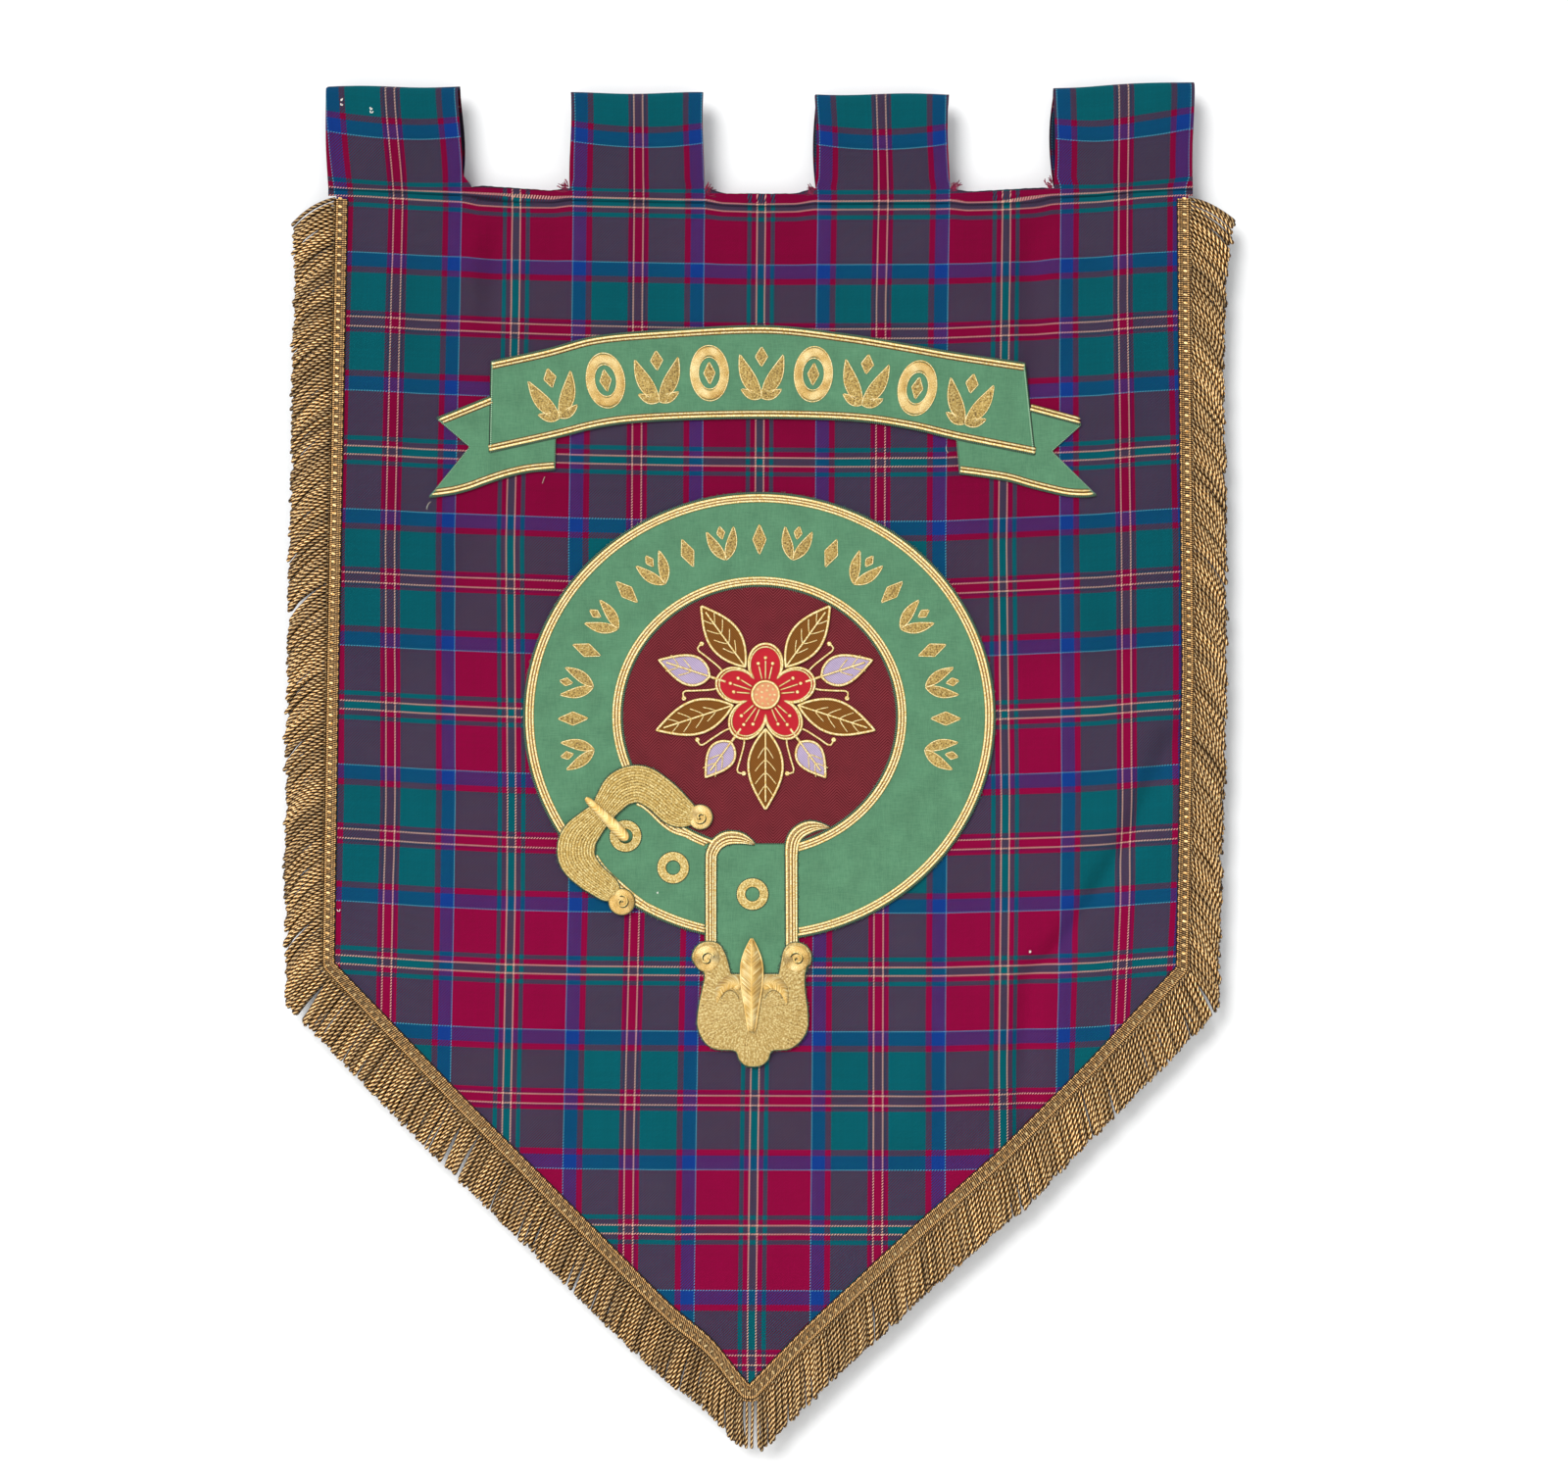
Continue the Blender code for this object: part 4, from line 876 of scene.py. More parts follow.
# The linen scroll. Green linen cut as an arched band with two fishtail ends tucked against it,
# edged with couched gold cords and overcast with green thread, and filled with gold satin stitch.
LINEN_BACK = -0.00105
LINEN_FRONT = -0.00225
LINEN_THICKNESS, TAIL_THICKNESS = 0.0012, 0.0010
SCROLL_TOP = (
    (-0.2112, -0.2166), (-0.1679, -0.2071), (-0.1294, -0.1971), (-0.0801, -0.1925), (0.0031, -0.1887),
    (0.0655, -0.1950), (0.1150, -0.2030), (0.1500, -0.2092), (0.2075, -0.2179),
)
SCROLL_LOW = (
    (-0.2125, -0.2876), (-0.1630, -0.2766), (-0.1185, -0.2662), (-0.0700, -0.2622), (0.0010, -0.2606),
    (0.0720, -0.2626), (0.1180, -0.2690), (0.1560, -0.2778), (0.2152, -0.2895),
)
TAIL_LEFT = (
    (-0.2121, -0.2441), (-0.2541, -0.2610), (-0.2279, -0.2834), (-0.2599, -0.3228),
    (-0.2416, -0.3203), (-0.2279, -0.3168), (-0.2159, -0.3124), (-0.1988, -0.3068),
    (-0.1817, -0.3030), (-0.1617, -0.3010),
    (-0.1612, -0.2771), (-0.1630, -0.2774), (-0.2129, -0.2880),
)
TAIL_RIGHT = (
    (0.2115, -0.2555), (0.2515, -0.2662), (0.2284, -0.2868), (0.2636, -0.3214),
    (0.2538, -0.3224), (0.2384, -0.3212), (0.2144, -0.3156), (0.1956, -0.3102),
    (0.1785, -0.3072), (0.1566, -0.3042),
    (0.1542, -0.2772), (0.1560, -0.2774), (0.2156, -0.2899),
)
# The two low cords are painted shade: the thin dark one shades the gap between the gold cords, and the
# darkest, innermost one is a painted shadow on the linen
DOUBLE_CORD = (
    # from the edge, half, tone, forward
    (0.0018, 0.00100, 1.10, 0.0002), (0.0031, 0.00055, 0.22, 0.0001), (0.0045, 0.00092, 0.78, 0.0001),
    (0.0056, 0.00045, 0.10, -0.0001),
)
linen = Finish("green_linen_weave", Sheen_Weight=0.08, Specular_IOR_Level=0.1)
here = linen.place()
lie = linen.split(here)
weave_x, weave_z = ((lie[axis] * (1 / 0.00062)).wave() for axis in "XZ")
slub_x = linen.noise(linen.stretch(here, 160.0, 160.0, 1500.0), 1.0, 3.0)
slub_z = linen.noise(linen.stretch(here, 1500.0, 160.0, 160.0), 1.0, 3.0)
patchy = linen.noise(here, 55.0, 4.0)
yarn = (weave_x * weave_z) * 0.5 + 0.42 * slub_x + 0.42 * slub_z + 0.16
cloth_tone = linen.mix(linen.ease(yarn, 0.25, 1.15), dye("#47795B"), dye("#6C9D78"))
linen.dress(Base_Color=linen.tint(cloth_tone, 0.84 + 0.42 * (patchy - 0.5)), Roughness=0.82 + 0.12 * patchy,
            Normal=linen.bump(yarn + 1.2 * patchy, 0.00025, 0.5))

gold_stitch = Finish("gold_couched_cord", Specular_IOR_Level=0.4)
around, along, tone = gold_stitch.thread()
facing = (around * (2 * math.pi)).maths("SINE")
here = gold_stitch.place()
wrap = (along / 0.00210 + 1.2 * around + 3.0 * gold_stitch.noise(here, 300.0)).wave()
speck = gold_stitch.noise(here, 900.0, 3.0) - 0.5
# Painted shade on the sides of each round cord and a painted highlight on its top
body = gold_stitch.ease(facing + 0.30 * wrap + 1.3 * speck, 0.15, 0.85)
glint = gold_stitch.ease(facing * (0.70 + 0.30 * wrap) + 0.9 * speck, 0.62, 0.95)
couched = gold_stitch.gild(body, glint, "#7A5216", "#D8B058", "#FFF3C0")
# The low lines between two cords are browner and show their wraps; their darkness is painted shade in the
# gap between the cords
low_line = gold_stitch.tint(gold_stitch.tint(couched, dye("#C08C3C")), 0.35 + 1.3 * wrap)
couched = gold_stitch.mix(gold_stitch.ease(tone, 0.30, 0.75), low_line, couched)
gold_stitch.dress(Base_Color=gold_stitch.tint(couched, 0.10 + 0.90 * tone), Roughness=0.55 - 0.2 * glint,
                  Normal=gold_stitch.bump(wrap, 0.0002, 0.6))

overcast = Finish("green_overcast_edge", Specular_IOR_Level=0.1)
around, along, tone = overcast.thread()
stitch = (along / 0.00150 + around * 0.7).wave() * (0.6 + 0.8 * overcast.noise(overcast.place(), 900.0, 3.0))
edging = overcast.mix(overcast.ease(stitch, 0.15, 0.85), dye("#1A3324"), dye("#7C9C80"))
overcast.dress(Base_Color=overcast.tint(edging, 0.15 + 0.85 * tone), Roughness=0.9 - 0.1 * stitch,
               Normal=overcast.bump(stitch, 0.0003))


def cut_patch(name, outline, back, thickness):
    """A flat piece cut to an outline, its face to the front."""
    piece = add_new(name, bpy.ops.mesh.primitive_circle_add, vertices=len(outline), fill_type="NGON")
    put(piece, in_front(outline, back))
    turn_to("EDIT")
    bpy.ops.mesh.select_all(action="SELECT")
    bpy.ops.mesh.extrude_region_move(TRANSFORM_OT_translate={"value": (0.0, -thickness, 0.0)})
    bpy.ops.mesh.select_all(action="SELECT")
    bpy.ops.mesh.normals_make_consistent(inside=False)
    turn_to("OBJECT")
    return piece


def beside(line, distance):
    """A line moved sideways, to the right of the way it runs."""
    line = np.asarray(line, dtype=float)
    way = np.gradient(line, axis=0)
    way /= np.linalg.norm(way, axis=1, keepdims=True)
    return line + np.stack((way[:, 1], -way[:, 0]), axis=1) * distance


def couch(batch, line, forward, half, tone=1.0, closed=False, flat=0.75, gap=0.0024):
    """Lay a cord on the banner's face along a line of (x, z) points."""
    drawn = np.column_stack((np.asarray(line, dtype=float), np.broadcast_to(half, len(line))))
    if closed:
        drawn = np.vstack((drawn, drawn[:1]))
    drawn = spread(drawn, gap=gap)[0]
    if closed:
        drawn = drawn[:-1]
    shape = run_on(in_front(drawn[:, :2], forward), drawn[:, 2], round_section(8, flat), closed=closed)
    batch.add(*shape, tone)


scroll_top, scroll_low = smooth_path(SCROLL_TOP, 90), smooth_path(SCROLL_LOW, 90)
band = cut_patch("scroll_linen", np.vstack((scroll_top, scroll_low[::-1])), LINEN_BACK, LINEN_THICKNESS)
sew_on(band, "green_linen", linen, "scroll_band")
scroll_cords, scroll_edge = Batch(), Batch()
for line, way in ((scroll_top, 1.0), (scroll_low, -1.0)):
    for distance, half, cord_tone, lift in DOUBLE_CORD:
        couch(scroll_cords, beside(line, way * distance), LINEN_FRONT - lift, half, cord_tone)
    couch(scroll_edge, beside(line, way * 0.0002), LINEN_FRONT + 0.0003, 0.00110, 0.50)
for end, inward in ((0, 1.0), (-1, -1.0)):
    ends = np.array((scroll_top[end], scroll_low[end]))
    couch(scroll_edge, ends + (inward * 0.0007, 0.0), LINEN_FRONT - 0.0001, 0.00060, 2.2)
    # A dark line just outside each end: painted shadow beside the linen's cut end
    couch(scroll_edge, ends - (inward * 0.0003, 0.0), LINEN_FRONT + 0.0003, 0.00060, 0.15)
for side, corners, way in (("left", TAIL_LEFT, -1.0), ("right", TAIL_RIGHT, 1.0)):
    corners = np.array(corners)
    low_edge, notch = smooth_path(corners[3:-3], 40), corners[1:4]
    outline = np.vstack((corners[:3], low_edge, corners[-3:]))
    tail = cut_patch("tail_linen_" + side, outline, LINEN_BACK, TAIL_THICKNESS)
    sew_on(tail, "green_linen", linen, "scroll_tail_" + side)
    for line, tip, inside in ((corners[:2], notch[0], -1.0), (low_edge, notch[2], way)):
        for distance, half, cord_tone, lift in DOUBLE_CORD:
            # Each cord ends where the notch cuts it
            laid = spread(beside(line, inside * distance), gap=0.0008)[0]
            share = np.clip((laid[:, 1] - tip[1]) / (notch[1][1] - tip[1]), 0.0, 1.0)
            past = (tip[0] + (notch[1][0] - tip[0]) * share - laid[:, 0]) * way
            laid, past = laid[past > 0.0003], past[past > 0.0003]
            halves = half * soften(0.35 + past / 0.0060)
            couch(scroll_cords, laid, LINEN_FRONT + 0.0002 - lift, halves, cord_tone, gap=0.0012)
        couch(scroll_edge, beside(line, inside * 0.0002), LINEN_FRONT + 0.0005, 0.00105, 0.50)
    couch(scroll_edge, notch, LINEN_FRONT + 0.0004, 0.00048, 1.6)
    couch(scroll_edge, corners[-4:-2], LINEN_FRONT + 0.0002, 0.00060, 0.9)
scroll_cords.sew("scroll_gold_cords", "gold_thread", gold_stitch)
scroll_edge.sew("scroll_overcast_edge", "green_linen", overcast)


# The belt. The same linen cut as a wide ring, its edges bordered with three couched gold cords
# and overcast with green thread, laid round a disc of maroon twill.
RING_X, RING_Z = -0.0008, -0.4951
RING_OUTER, RING_INNER = 0.1840, 0.1086
RING_FLATTEN = 0.950
STRAP_X, STRAP_HALF = -0.0068, 0.0361
STRAP_TOP, STRAP_CORNER = -0.5950, 0.0100
STRAP_SHOULDER, STRAP_NECK, STRAP_BOTTOM = -0.6705, 0.0205, -0.6965
STRAP_CLEAR = 0.0004
DISC_THICKNESS = 0.0010
# The middle cord is low and dark: painted shade between the two gold ones
TURNED_CORDS = ((-0.0012, 0.00090, 0.98), (0.0, 0.00070, 0.42), (0.0012, 0.00095, 1.02))
# The low cords of tone 0.42 between the gold ones are painted shade in the gaps
BORDER_CORDS = (
    # from the edge, half, tone, lift
    (0.0013, 0.00105, 1.05, 0.0), (0.0025, 0.00070, 0.42, -0.0001), (0.0037, 0.00090, 0.98, 0.0),
    (0.0048, 0.00070, 0.42, -0.0001), (0.0060, 0.00092, 1.02, 0.0),
)
BESIDE_BUCKLE = (
    # the belt's borders where they turn in along the buckle's arms
    ((-0.0965, -0.5626), (-0.0910, -0.5654), (-0.0850, -0.5705), (-0.0790, -0.5765), (-0.0730, -0.5815),
     (-0.0670, -0.5850), (-0.0600, -0.5872), (-0.0540, -0.5893)),
    ((-0.1297, -0.6048), (-0.1249, -0.6121), (-0.1176, -0.6202), (-0.1094, -0.6275), (-0.0985, -0.6368),
     (-0.0860, -0.6457)),
)

maroon_twill = Finish("maroon_twill_weave", Sheen_Weight=0.06, Specular_IOR_Level=0.12)
here = maroon_twill.place()
lie = maroon_twill.split(here)
lean = (lie["X"] / 0.0100).maths("PINGPONG", 1.0) * 0.0100
wale = ((lie["Z"] + lean) / 0.0023).wave()
mottled = maroon_twill.noise(here, 70.0, 4.0)
wale_colour = maroon_twill.mix(maroon_twill.ease(wale, 0.25, 0.8), dye("#6A1620"), dye("#9A3C46"))
maroon_twill.dress(Base_Color=maroon_twill.tint(wale_colour, 0.60 + 0.26 * (mottled - 0.5)),
                   Roughness=0.80 + 0.1 * mottled, Normal=maroon_twill.bump(wale, 0.0003, 0.6))


def ellipse(radius, start=0.0, end=360.0, steps=160, x=RING_X, z=RING_Z, flatten=RING_FLATTEN):
    """Points round an ellipse, from one direction in degrees to another."""
    turn = np.radians(np.linspace(start, end, steps, endpoint=end - start < 359.9))
    return np.stack((x + radius * np.cos(turn), z + radius * flatten * np.sin(turn)), axis=1)


def circle(x, z, radius, steps=48):
    return ellipse(radius, 0.0, 360.0, steps, x, z, 1.0)


def strap_outline(grow):
    """The strap end: rounded corners at the top, a neck that follows the tip at the foot."""
    turn = np.radians(np.linspace(0.0, 90.0, 7))
    inset = STRAP_CORNER
    side = [(STRAP_HALF + grow - inset + inset * math.sin(t), STRAP_TOP + grow - inset + inset * math.cos(t))
            for t in turn]
    if grow > 0:
        side += [(STRAP_HALF + grow, STRAP_SHOULDER + grow), (STRAP_NECK + grow, STRAP_SHOULDER - grow),
                 (STRAP_NECK + grow, STRAP_BOTTOM - grow)]
    else:
        side += [(STRAP_HALF, STRAP_SHOULDER), (0.0350, -0.6716), (0.0285, -0.6733), (0.0245, -0.6788),
                 (0.0226, -0.6880), (STRAP_NECK, STRAP_BOTTOM)]
    return [(STRAP_X + x, z) for x, z in side] + [(STRAP_X - x, z) for x, z in side[::-1]]


def cut_away(piece, outline):
    """Cut a place of the given outline out of a piece."""
    cutter = cut_patch("cutter", outline, 0.010, 0.020)
    hold(piece)
    cut = piece.modifiers.new("cut", "BOOLEAN")
    cut.operation, cut.solver, cut.object = "DIFFERENCE", "EXACT", cutter
    bpy.ops.object.modifier_apply(modifier="cut")
    bpy.data.objects.remove(cutter)


def off_strap(line, clear=0.0):
    """The stretch of a closed line that doesn't run under the strap end."""
    under = (np.abs(line[:, 0] - STRAP_X) < STRAP_HALF + clear) & (line[:, 1] < STRAP_TOP + clear)
    first = int(np.argmax(under))
    return np.roll(line, -first, axis=0)[np.roll(~under, -first)]


def fuzz(batch, line, count, length, forward, tones):
    """Loose fibres that stand out from an edge, on the left of the way it runs."""
    spots, ways, _ = spread(line, count=count)
    for (x, z), (way_x, way_z) in zip(spots, ways):
        if chance.random() < 0.25:
            continue
        heading = math.atan2(way_z, way_x) + math.pi / 2 + chance.gauss(0.0, 0.7)
        curl = chance.uniform(-1.2, 1.2)
        size = length * chance.uniform(0.4, 1.3)
        turn = heading + curl * np.linspace(0.0, 1.0, 4)
        steps = size / 3 * np.stack((np.cos(turn), 0.0 * turn, np.sin(turn)), axis=1)
        batch.add(*run_on(np.array((x, forward, z)) + np.cumsum(steps, axis=0) - steps[0],
                          (0.00022, 0.0002, 0.00018, 0.00012), round_section(4)), chance.uniform(*tones))


ring = cut_patch("belt_linen", ellipse(RING_OUTER), LINEN_BACK, LINEN_THICKNESS)
cut_away(ring, ellipse(RING_INNER))
cut_away(ring, strap_outline(STRAP_CLEAR))
sew_on(ring, "green_linen", linen, "belt_ring")
disc = cut_patch("disc_twill", ellipse(RING_INNER - 0.0003), LINEN_BACK, DISC_THICKNESS)
cut_away(disc, strap_outline(STRAP_CLEAR))
sew_on(disc, "maroon_twill", maroon_twill, "badge_disc")

belt_cords, belt_edge = Batch(), Batch()
for radius, inward in ((RING_OUTER, -1.0), (RING_INNER, 1.0)):
    for distance, half, cord_tone, lift in BORDER_CORDS:
        couch(belt_cords, off_strap(ellipse(radius + inward * distance, steps=900), 0.0002),
              LINEN_FRONT - 0.0002 + lift, half, cord_tone)
    rim = off_strap(ellipse(radius - inward * 0.0004, steps=900))
    couch(belt_edge, rim, LINEN_FRONT + 0.0003, 0.00115, 0.55)
    fuzz(belt_edge, rim if inward > 0 else rim[::-1], 560, 0.0024, LINEN_FRONT + 0.0003, (0.2, 1.3))
for line in BESIDE_BUCKLE:
    for distance, half, cord_tone in TURNED_CORDS:
        couch(belt_cords, beside(smooth_path(line, 30), distance), LINEN_FRONT - 0.0004, half, cord_tone)
belt_cords.sew("belt_gold_cords", "gold_thread", gold_stitch)
belt_edge.sew("belt_overcast_edge", "green_linen", overcast)


# The hanging end of the belt. A strap of the linen let into the ring, whose corded borders curl
# over at the top, with a padded gold tip of curls and lobes and a ridged satin leaf laid over it.
STRAP_BORDERS = (
    # x, z and half width of each border, from the tip up and over to its point
    ((-0.0388, -0.6760, 0.0040), (-0.0388, -0.6100, 0.0041), (-0.0379, -0.6020, 0.0043),
     (-0.0340, -0.5950, 0.0047), (-0.0262, -0.5905, 0.0050), (-0.0165, -0.5905, 0.0043),
     (-0.0090, -0.5930, 0.0024), (-0.0045, -0.5955, 0.0005)),
    ((0.0246, -0.6760, 0.0044), (0.0243, -0.6100, 0.0045), (0.0243, -0.6030, 0.0047),
     (0.0255, -0.5930, 0.0050), (0.0302, -0.5860, 0.0050), (0.0385, -0.5818, 0.0045),
     (0.0470, -0.5812, 0.0024), (0.0545, -0.5826, 0.0005)),
)
TIP_RIGHT = (
    (0.0209, -0.6969), (0.0226, -0.6880), (0.0245, -0.6790), (0.0285, -0.6735),
    (0.0350, -0.6718), (0.0425, -0.6745), (0.0468, -0.6810), (0.0465, -0.6885),
    (0.0425, -0.6950), (0.0420, -0.7080), (0.0442, -0.7260), (0.0440, -0.7400),
    (0.0385, -0.7500), (0.0290, -0.7565), (0.0162, -0.7578), (0.0132, -0.7645),
    (0.0075, -0.7692),
)
TIP_LEFT = (
    (0.0162, -0.6969), (0.0180, -0.6890), (0.0210, -0.6800), (0.0262, -0.6728),
    (0.0350, -0.6712), (0.0425, -0.6742), (0.0470, -0.6815), (0.0462, -0.6880),
    (0.0402, -0.6932), (0.0372, -0.6985), (0.0390, -0.7080), (0.0420, -0.7230),
    (0.0430, -0.7380), (0.0372, -0.7508), (0.0280, -0.7566), (0.0136, -0.7578),
    (0.0102, -0.7645), (0.0052, -0.7692),
)
TIP_FOOT = -0.7702
TIP_FRONT = -0.00405
TIP_EYE, TIP_SPOKES = -0.7230, 13.0
LEAF_BACK = -0.00495
# The low, darker cords between the gold ones are painted shade in the gaps
STRAP_CORDS = (
    # across   tone   half, as shares of the border's half width
    (-0.80, 1.05, 0.22), (-0.46, 0.50, 0.20), (-0.12, 1.0, 0.20), (0.16, 0.35, 0.13), (0.40, 1.0, 0.19),
    (0.62, 0.35, 0.11), (0.84, 1.05, 0.20),
)
CRESCENT = ((0.0277, -0.7209, 0.0004), (0.0268, -0.7150, 0.0022), (0.0240, -0.7085, 0.0042),
            (0.0185, -0.7040, 0.0052), (0.0130, -0.7035, 0.0054), (0.0080, -0.7065, 0.0046))
CRESCENT_TONES = (1.2, 1.2, 1.15, 1.05, 0.90, 0.72, 0.58, 0.50, 0.50)
LEAF = (
    # z       half
    (-0.6692, 0.0004), (-0.6730, 0.0026), (-0.6780, 0.0050), (-0.6840, 0.0072), (-0.6900, 0.0085),
    (-0.6980, 0.0088), (-0.7080, 0.0080), (-0.7180, 0.0063), (-0.7280, 0.0047), (-0.7380, 0.0032),
    (-0.7420, 0.0022),
)
# The tones paint the satin's sheen: the left half darker, the raised ridge and the right edge pale
RIDGE = (
    # across, forward, tone
    (1.0, 0.0, 0.95), (1.0, 0.0003, 1.0), (0.5, 0.0013, 0.78), (0.0, 0.0020, 1.05), (-0.5, 0.0013, 0.66),
    (-1.0, 0.0003, 0.72), (-1.0, 0.0, 0.72),
)

gold_rows = Finish("gold_padded_rows", Specular_IOR_Level=0.4)
around, along, tone = gold_rows.thread()
here = gold_rows.place()
stitch = (along / 0.0022 + 4.0 * gold_rows.noise(here, 260.0)).wave()
glitter = gold_rows.noise(here, 850.0, 3.0)
lit = (around * (2 * math.pi)).maths("SINE") * 0.32 + 0.30 * stitch + 2.9 * (glitter - 0.5)
rows = gold_rows.gild(gold_rows.ease(lit, -0.45, 0.25), gold_rows.ease(lit, 0.25, 1.0),
                      "#6A5222", "#C8A554", "#F8E6A4")
gold_rows.dress(Base_Color=gold_rows.tint(rows, 0.10 + 0.90 * tone), Roughness=0.50 + 0.2 * glitter,
                Normal=gold_rows.bump(stitch + glitter, 0.0003, 0.8))

gold_satin = Finish("gold_satin_stitch", Specular_IOR_Level=0.45)
across, along, tone = gold_satin.thread()
strand = along + 0.9 * across.maths("ABSOLUTE").maths("MINIMUM", 0.02)
strands = gold_satin.node("CombineXYZ", None, {"X": strand * 1500.0, "Y": across * 60.0})
fine = gold_satin.noise(strands, 1.0)
lit = fine * 1.7 + gold_satin.noise(gold_satin.place(), 110.0, 1.0) * 0.6 - 0.64
satin = gold_satin.gild(gold_satin.ease(lit, 0.10, 0.52), gold_satin.ease(lit, 0.42, 0.85),
                        "#85571A", "#D4A84E", "#FFEFB6")
gold_satin.dress(Base_Color=gold_satin.tint(satin, 0.10 + 0.90 * tone), Roughness=0.45 + 0.2 * fine,
                 Normal=gold_satin.bump(fine, 0.0004))

gold_fan = Finish("gold_fan_stitch", Specular_IOR_Level=0.5)
here = gold_fan.place()
spot = gold_fan.split(here)
from_eye = (spot["X"] - STRAP_X).maths("ARCTAN2", spot["Z"] - TIP_EYE)
spoke = (from_eye * TIP_SPOKES + 3.0 * gold_fan.noise(here, 130.0)).wave()
glitter = gold_fan.noise(here, 800.0, 3.0)
lit = 0.18 + 0.42 * spoke + 2.6 * (glitter - 0.5)
fan = gold_fan.gild(gold_fan.ease(lit, -0.45, 0.25), gold_fan.ease(lit, 0.25, 1.0),
                    "#6E5424", "#C09C50", "#F2DE9C")
gold_fan.dress(Base_Color=gold_fan.tint(fan, (0.80, 0.80, 0.80, 1.0)), Roughness=0.50 + 0.2 * glitter,
               Normal=gold_fan.bump(0.6 * spoke + glitter, 0.0003, 0.8))


def pad_section(rise):
    """A low cushion: flat at the back, rounded to the front."""
    across = np.array((-1.0, -1.0, -0.72, -0.36, 0.0, 0.36, 0.72, 1.0, 1.0))
    high = np.array((0.0, 0.25, 0.72, 0.93, 1.0, 0.93, 0.72, 0.25, 0.0)) * rise
    return across[::-1], high[::-1], False


def pad(batch, line, halves, back, rise, tone, gap=0.0022):
    """A padded stroke of changing width on the banner's face."""
    drawn = np.column_stack((np.asarray(line, dtype=float), np.broadcast_to(halves, len(line))))
    drawn = spread(drawn, gap=gap)[0]
    tone = tone if np.ndim(tone) == 0 else np.tile(tone, len(drawn))
    halves = np.maximum(drawn[:, 2], 0.0003)
    batch.add(*run_on(in_front(drawn[:, :2], back), halves, pad_section(rise)), tone)


def curl(x, z, radius, turns, start, way=1.0, steps=40):
    """A spiral that winds in to its middle."""
    share = np.linspace(0.0, 1.0, steps)
    turn = math.radians(start) + way * 2 * math.pi * turns * share
    reach = radius * (1.0 - share) ** 0.8 + 0.0006
    return np.stack((x + reach * np.cos(turn), z + reach * np.sin(turn)), axis=1)


def volute(satin, rows, edging, x, z, radius, forward, shaded_sides, start, way):
    """A rolled end: a ring of satin with painted shade where its sheen falls off, and a pale thread wound
    into its middle with a painted shadow beside it.
    """
    ring = circle(x, z, radius * 0.62, 40)
    turned = np.arctan2(ring[:, 1] - z, ring[:, 0] - x)
    tones = 1.12 * np.ones(len(ring))
    for at, depth in shaded_sides:
        tones -= depth * np.exp(6.0 * (np.cos(turned - math.radians(at)) - 1.0))
    ring = np.column_stack((ring, tones))
    drawn = spread(np.vstack((ring, ring[:1])), gap=0.0012)[0][:-1]
    satin.add(*run_on(in_front(drawn[:, :2], forward), radius * 0.42, round_section(8, 0.32), closed=True),
              np.repeat(drawn[:, 2], 8))
    couch(satin, circle(x, z, radius * 0.18, 12), forward - 0.0002, radius * 0.20, 1.15,
          closed=True, flat=0.4, gap=0.0010)
    whorl = curl(x, z, radius * 0.50, 1.15, start, way)
    couch(rows, whorl, forward - radius * 0.14, 0.00048, 1.25, gap=0.0010)
    # A dark line just below and right of the pale thread: its painted shadow
    couch(edging, whorl + (0.0006, -0.0007), forward - radius * 0.13, 0.00050, 0.08, gap=0.0010)
    couch(edging, circle(x, z, radius * 1.03, 40), forward + 0.0006, 0.0007, 0.45, closed=True)


strap = cut_patch("strap_linen", strap_outline(0.0), LINEN_BACK, LINEN_THICKNESS)
sew_on(strap, "green_linen", linen, "strap_end")
strap_cords, strap_edge = Batch(), Batch()
for border in STRAP_BORDERS:
    drawn = smooth_path(border, 50)
    line, halves = drawn[:, :2], drawn[:, 2:]
    for share, cord_tone, wide in STRAP_CORDS:
        lift = 0.0003 if cord_tone > 0.6 else 0.0004
        couch(strap_cords, beside(line, halves * share), LINEN_FRONT - lift,
              np.maximum(halves[:, 0] * wide, 0.0003), cord_tone)
    for share, way in ((-1.06, 1), (1.06, -1)):
        rim = beside(line, halves * share)
        couch(strap_edge, rim, LINEN_FRONT + 0.0001, 0.00085, 0.45)
        fuzz(strap_edge, rim[::way], 110, 0.0016, LINEN_FRONT - 0.0002, (0.2, 1.2))
couch(strap_edge, ((-0.0100, STRAP_TOP), (0.0200, STRAP_TOP)), LINEN_FRONT + 0.0001, 0.0005, 0.4)
strap_cords.sew("strap_gold_cords", "gold_thread", gold_stitch)

tip_outline = [(STRAP_X + x, z) for x, z in TIP_RIGHT] + [(STRAP_X, TIP_FOOT)]
tip_outline += [(STRAP_X - x, z) for x, z in TIP_LEFT[::-1]]
tip_line = np.vstack((smooth_path(tip_outline, 150)[:-1], tip_outline[-1:]))
tip_pad = cut_patch("tip_padding", tip_line, LINEN_BACK, 0.0020)
turn_to("EDIT")
bpy.ops.mesh.select_all(action="DESELECT")
turn_to("OBJECT")
for face in tip_pad.data.polygons:
    face.select = face.normal.y < -0.9
turn_to("EDIT")
bpy.ops.mesh.select_mode(type="FACE")
for inset, rise in ((0.0010, 0.0006), (0.0014, 0.0004)):
    bpy.ops.mesh.inset(thickness=inset, use_even_offset=True)
    bpy.ops.transform.translate(value=(0.0, -rise, 0.0))
turn_to("OBJECT")
bpy.ops.object.shade_smooth_by_angle(angle=SHARP_EDGE)
sew_on(tip_pad, "gold_thread", gold_fan, "strap_tip")

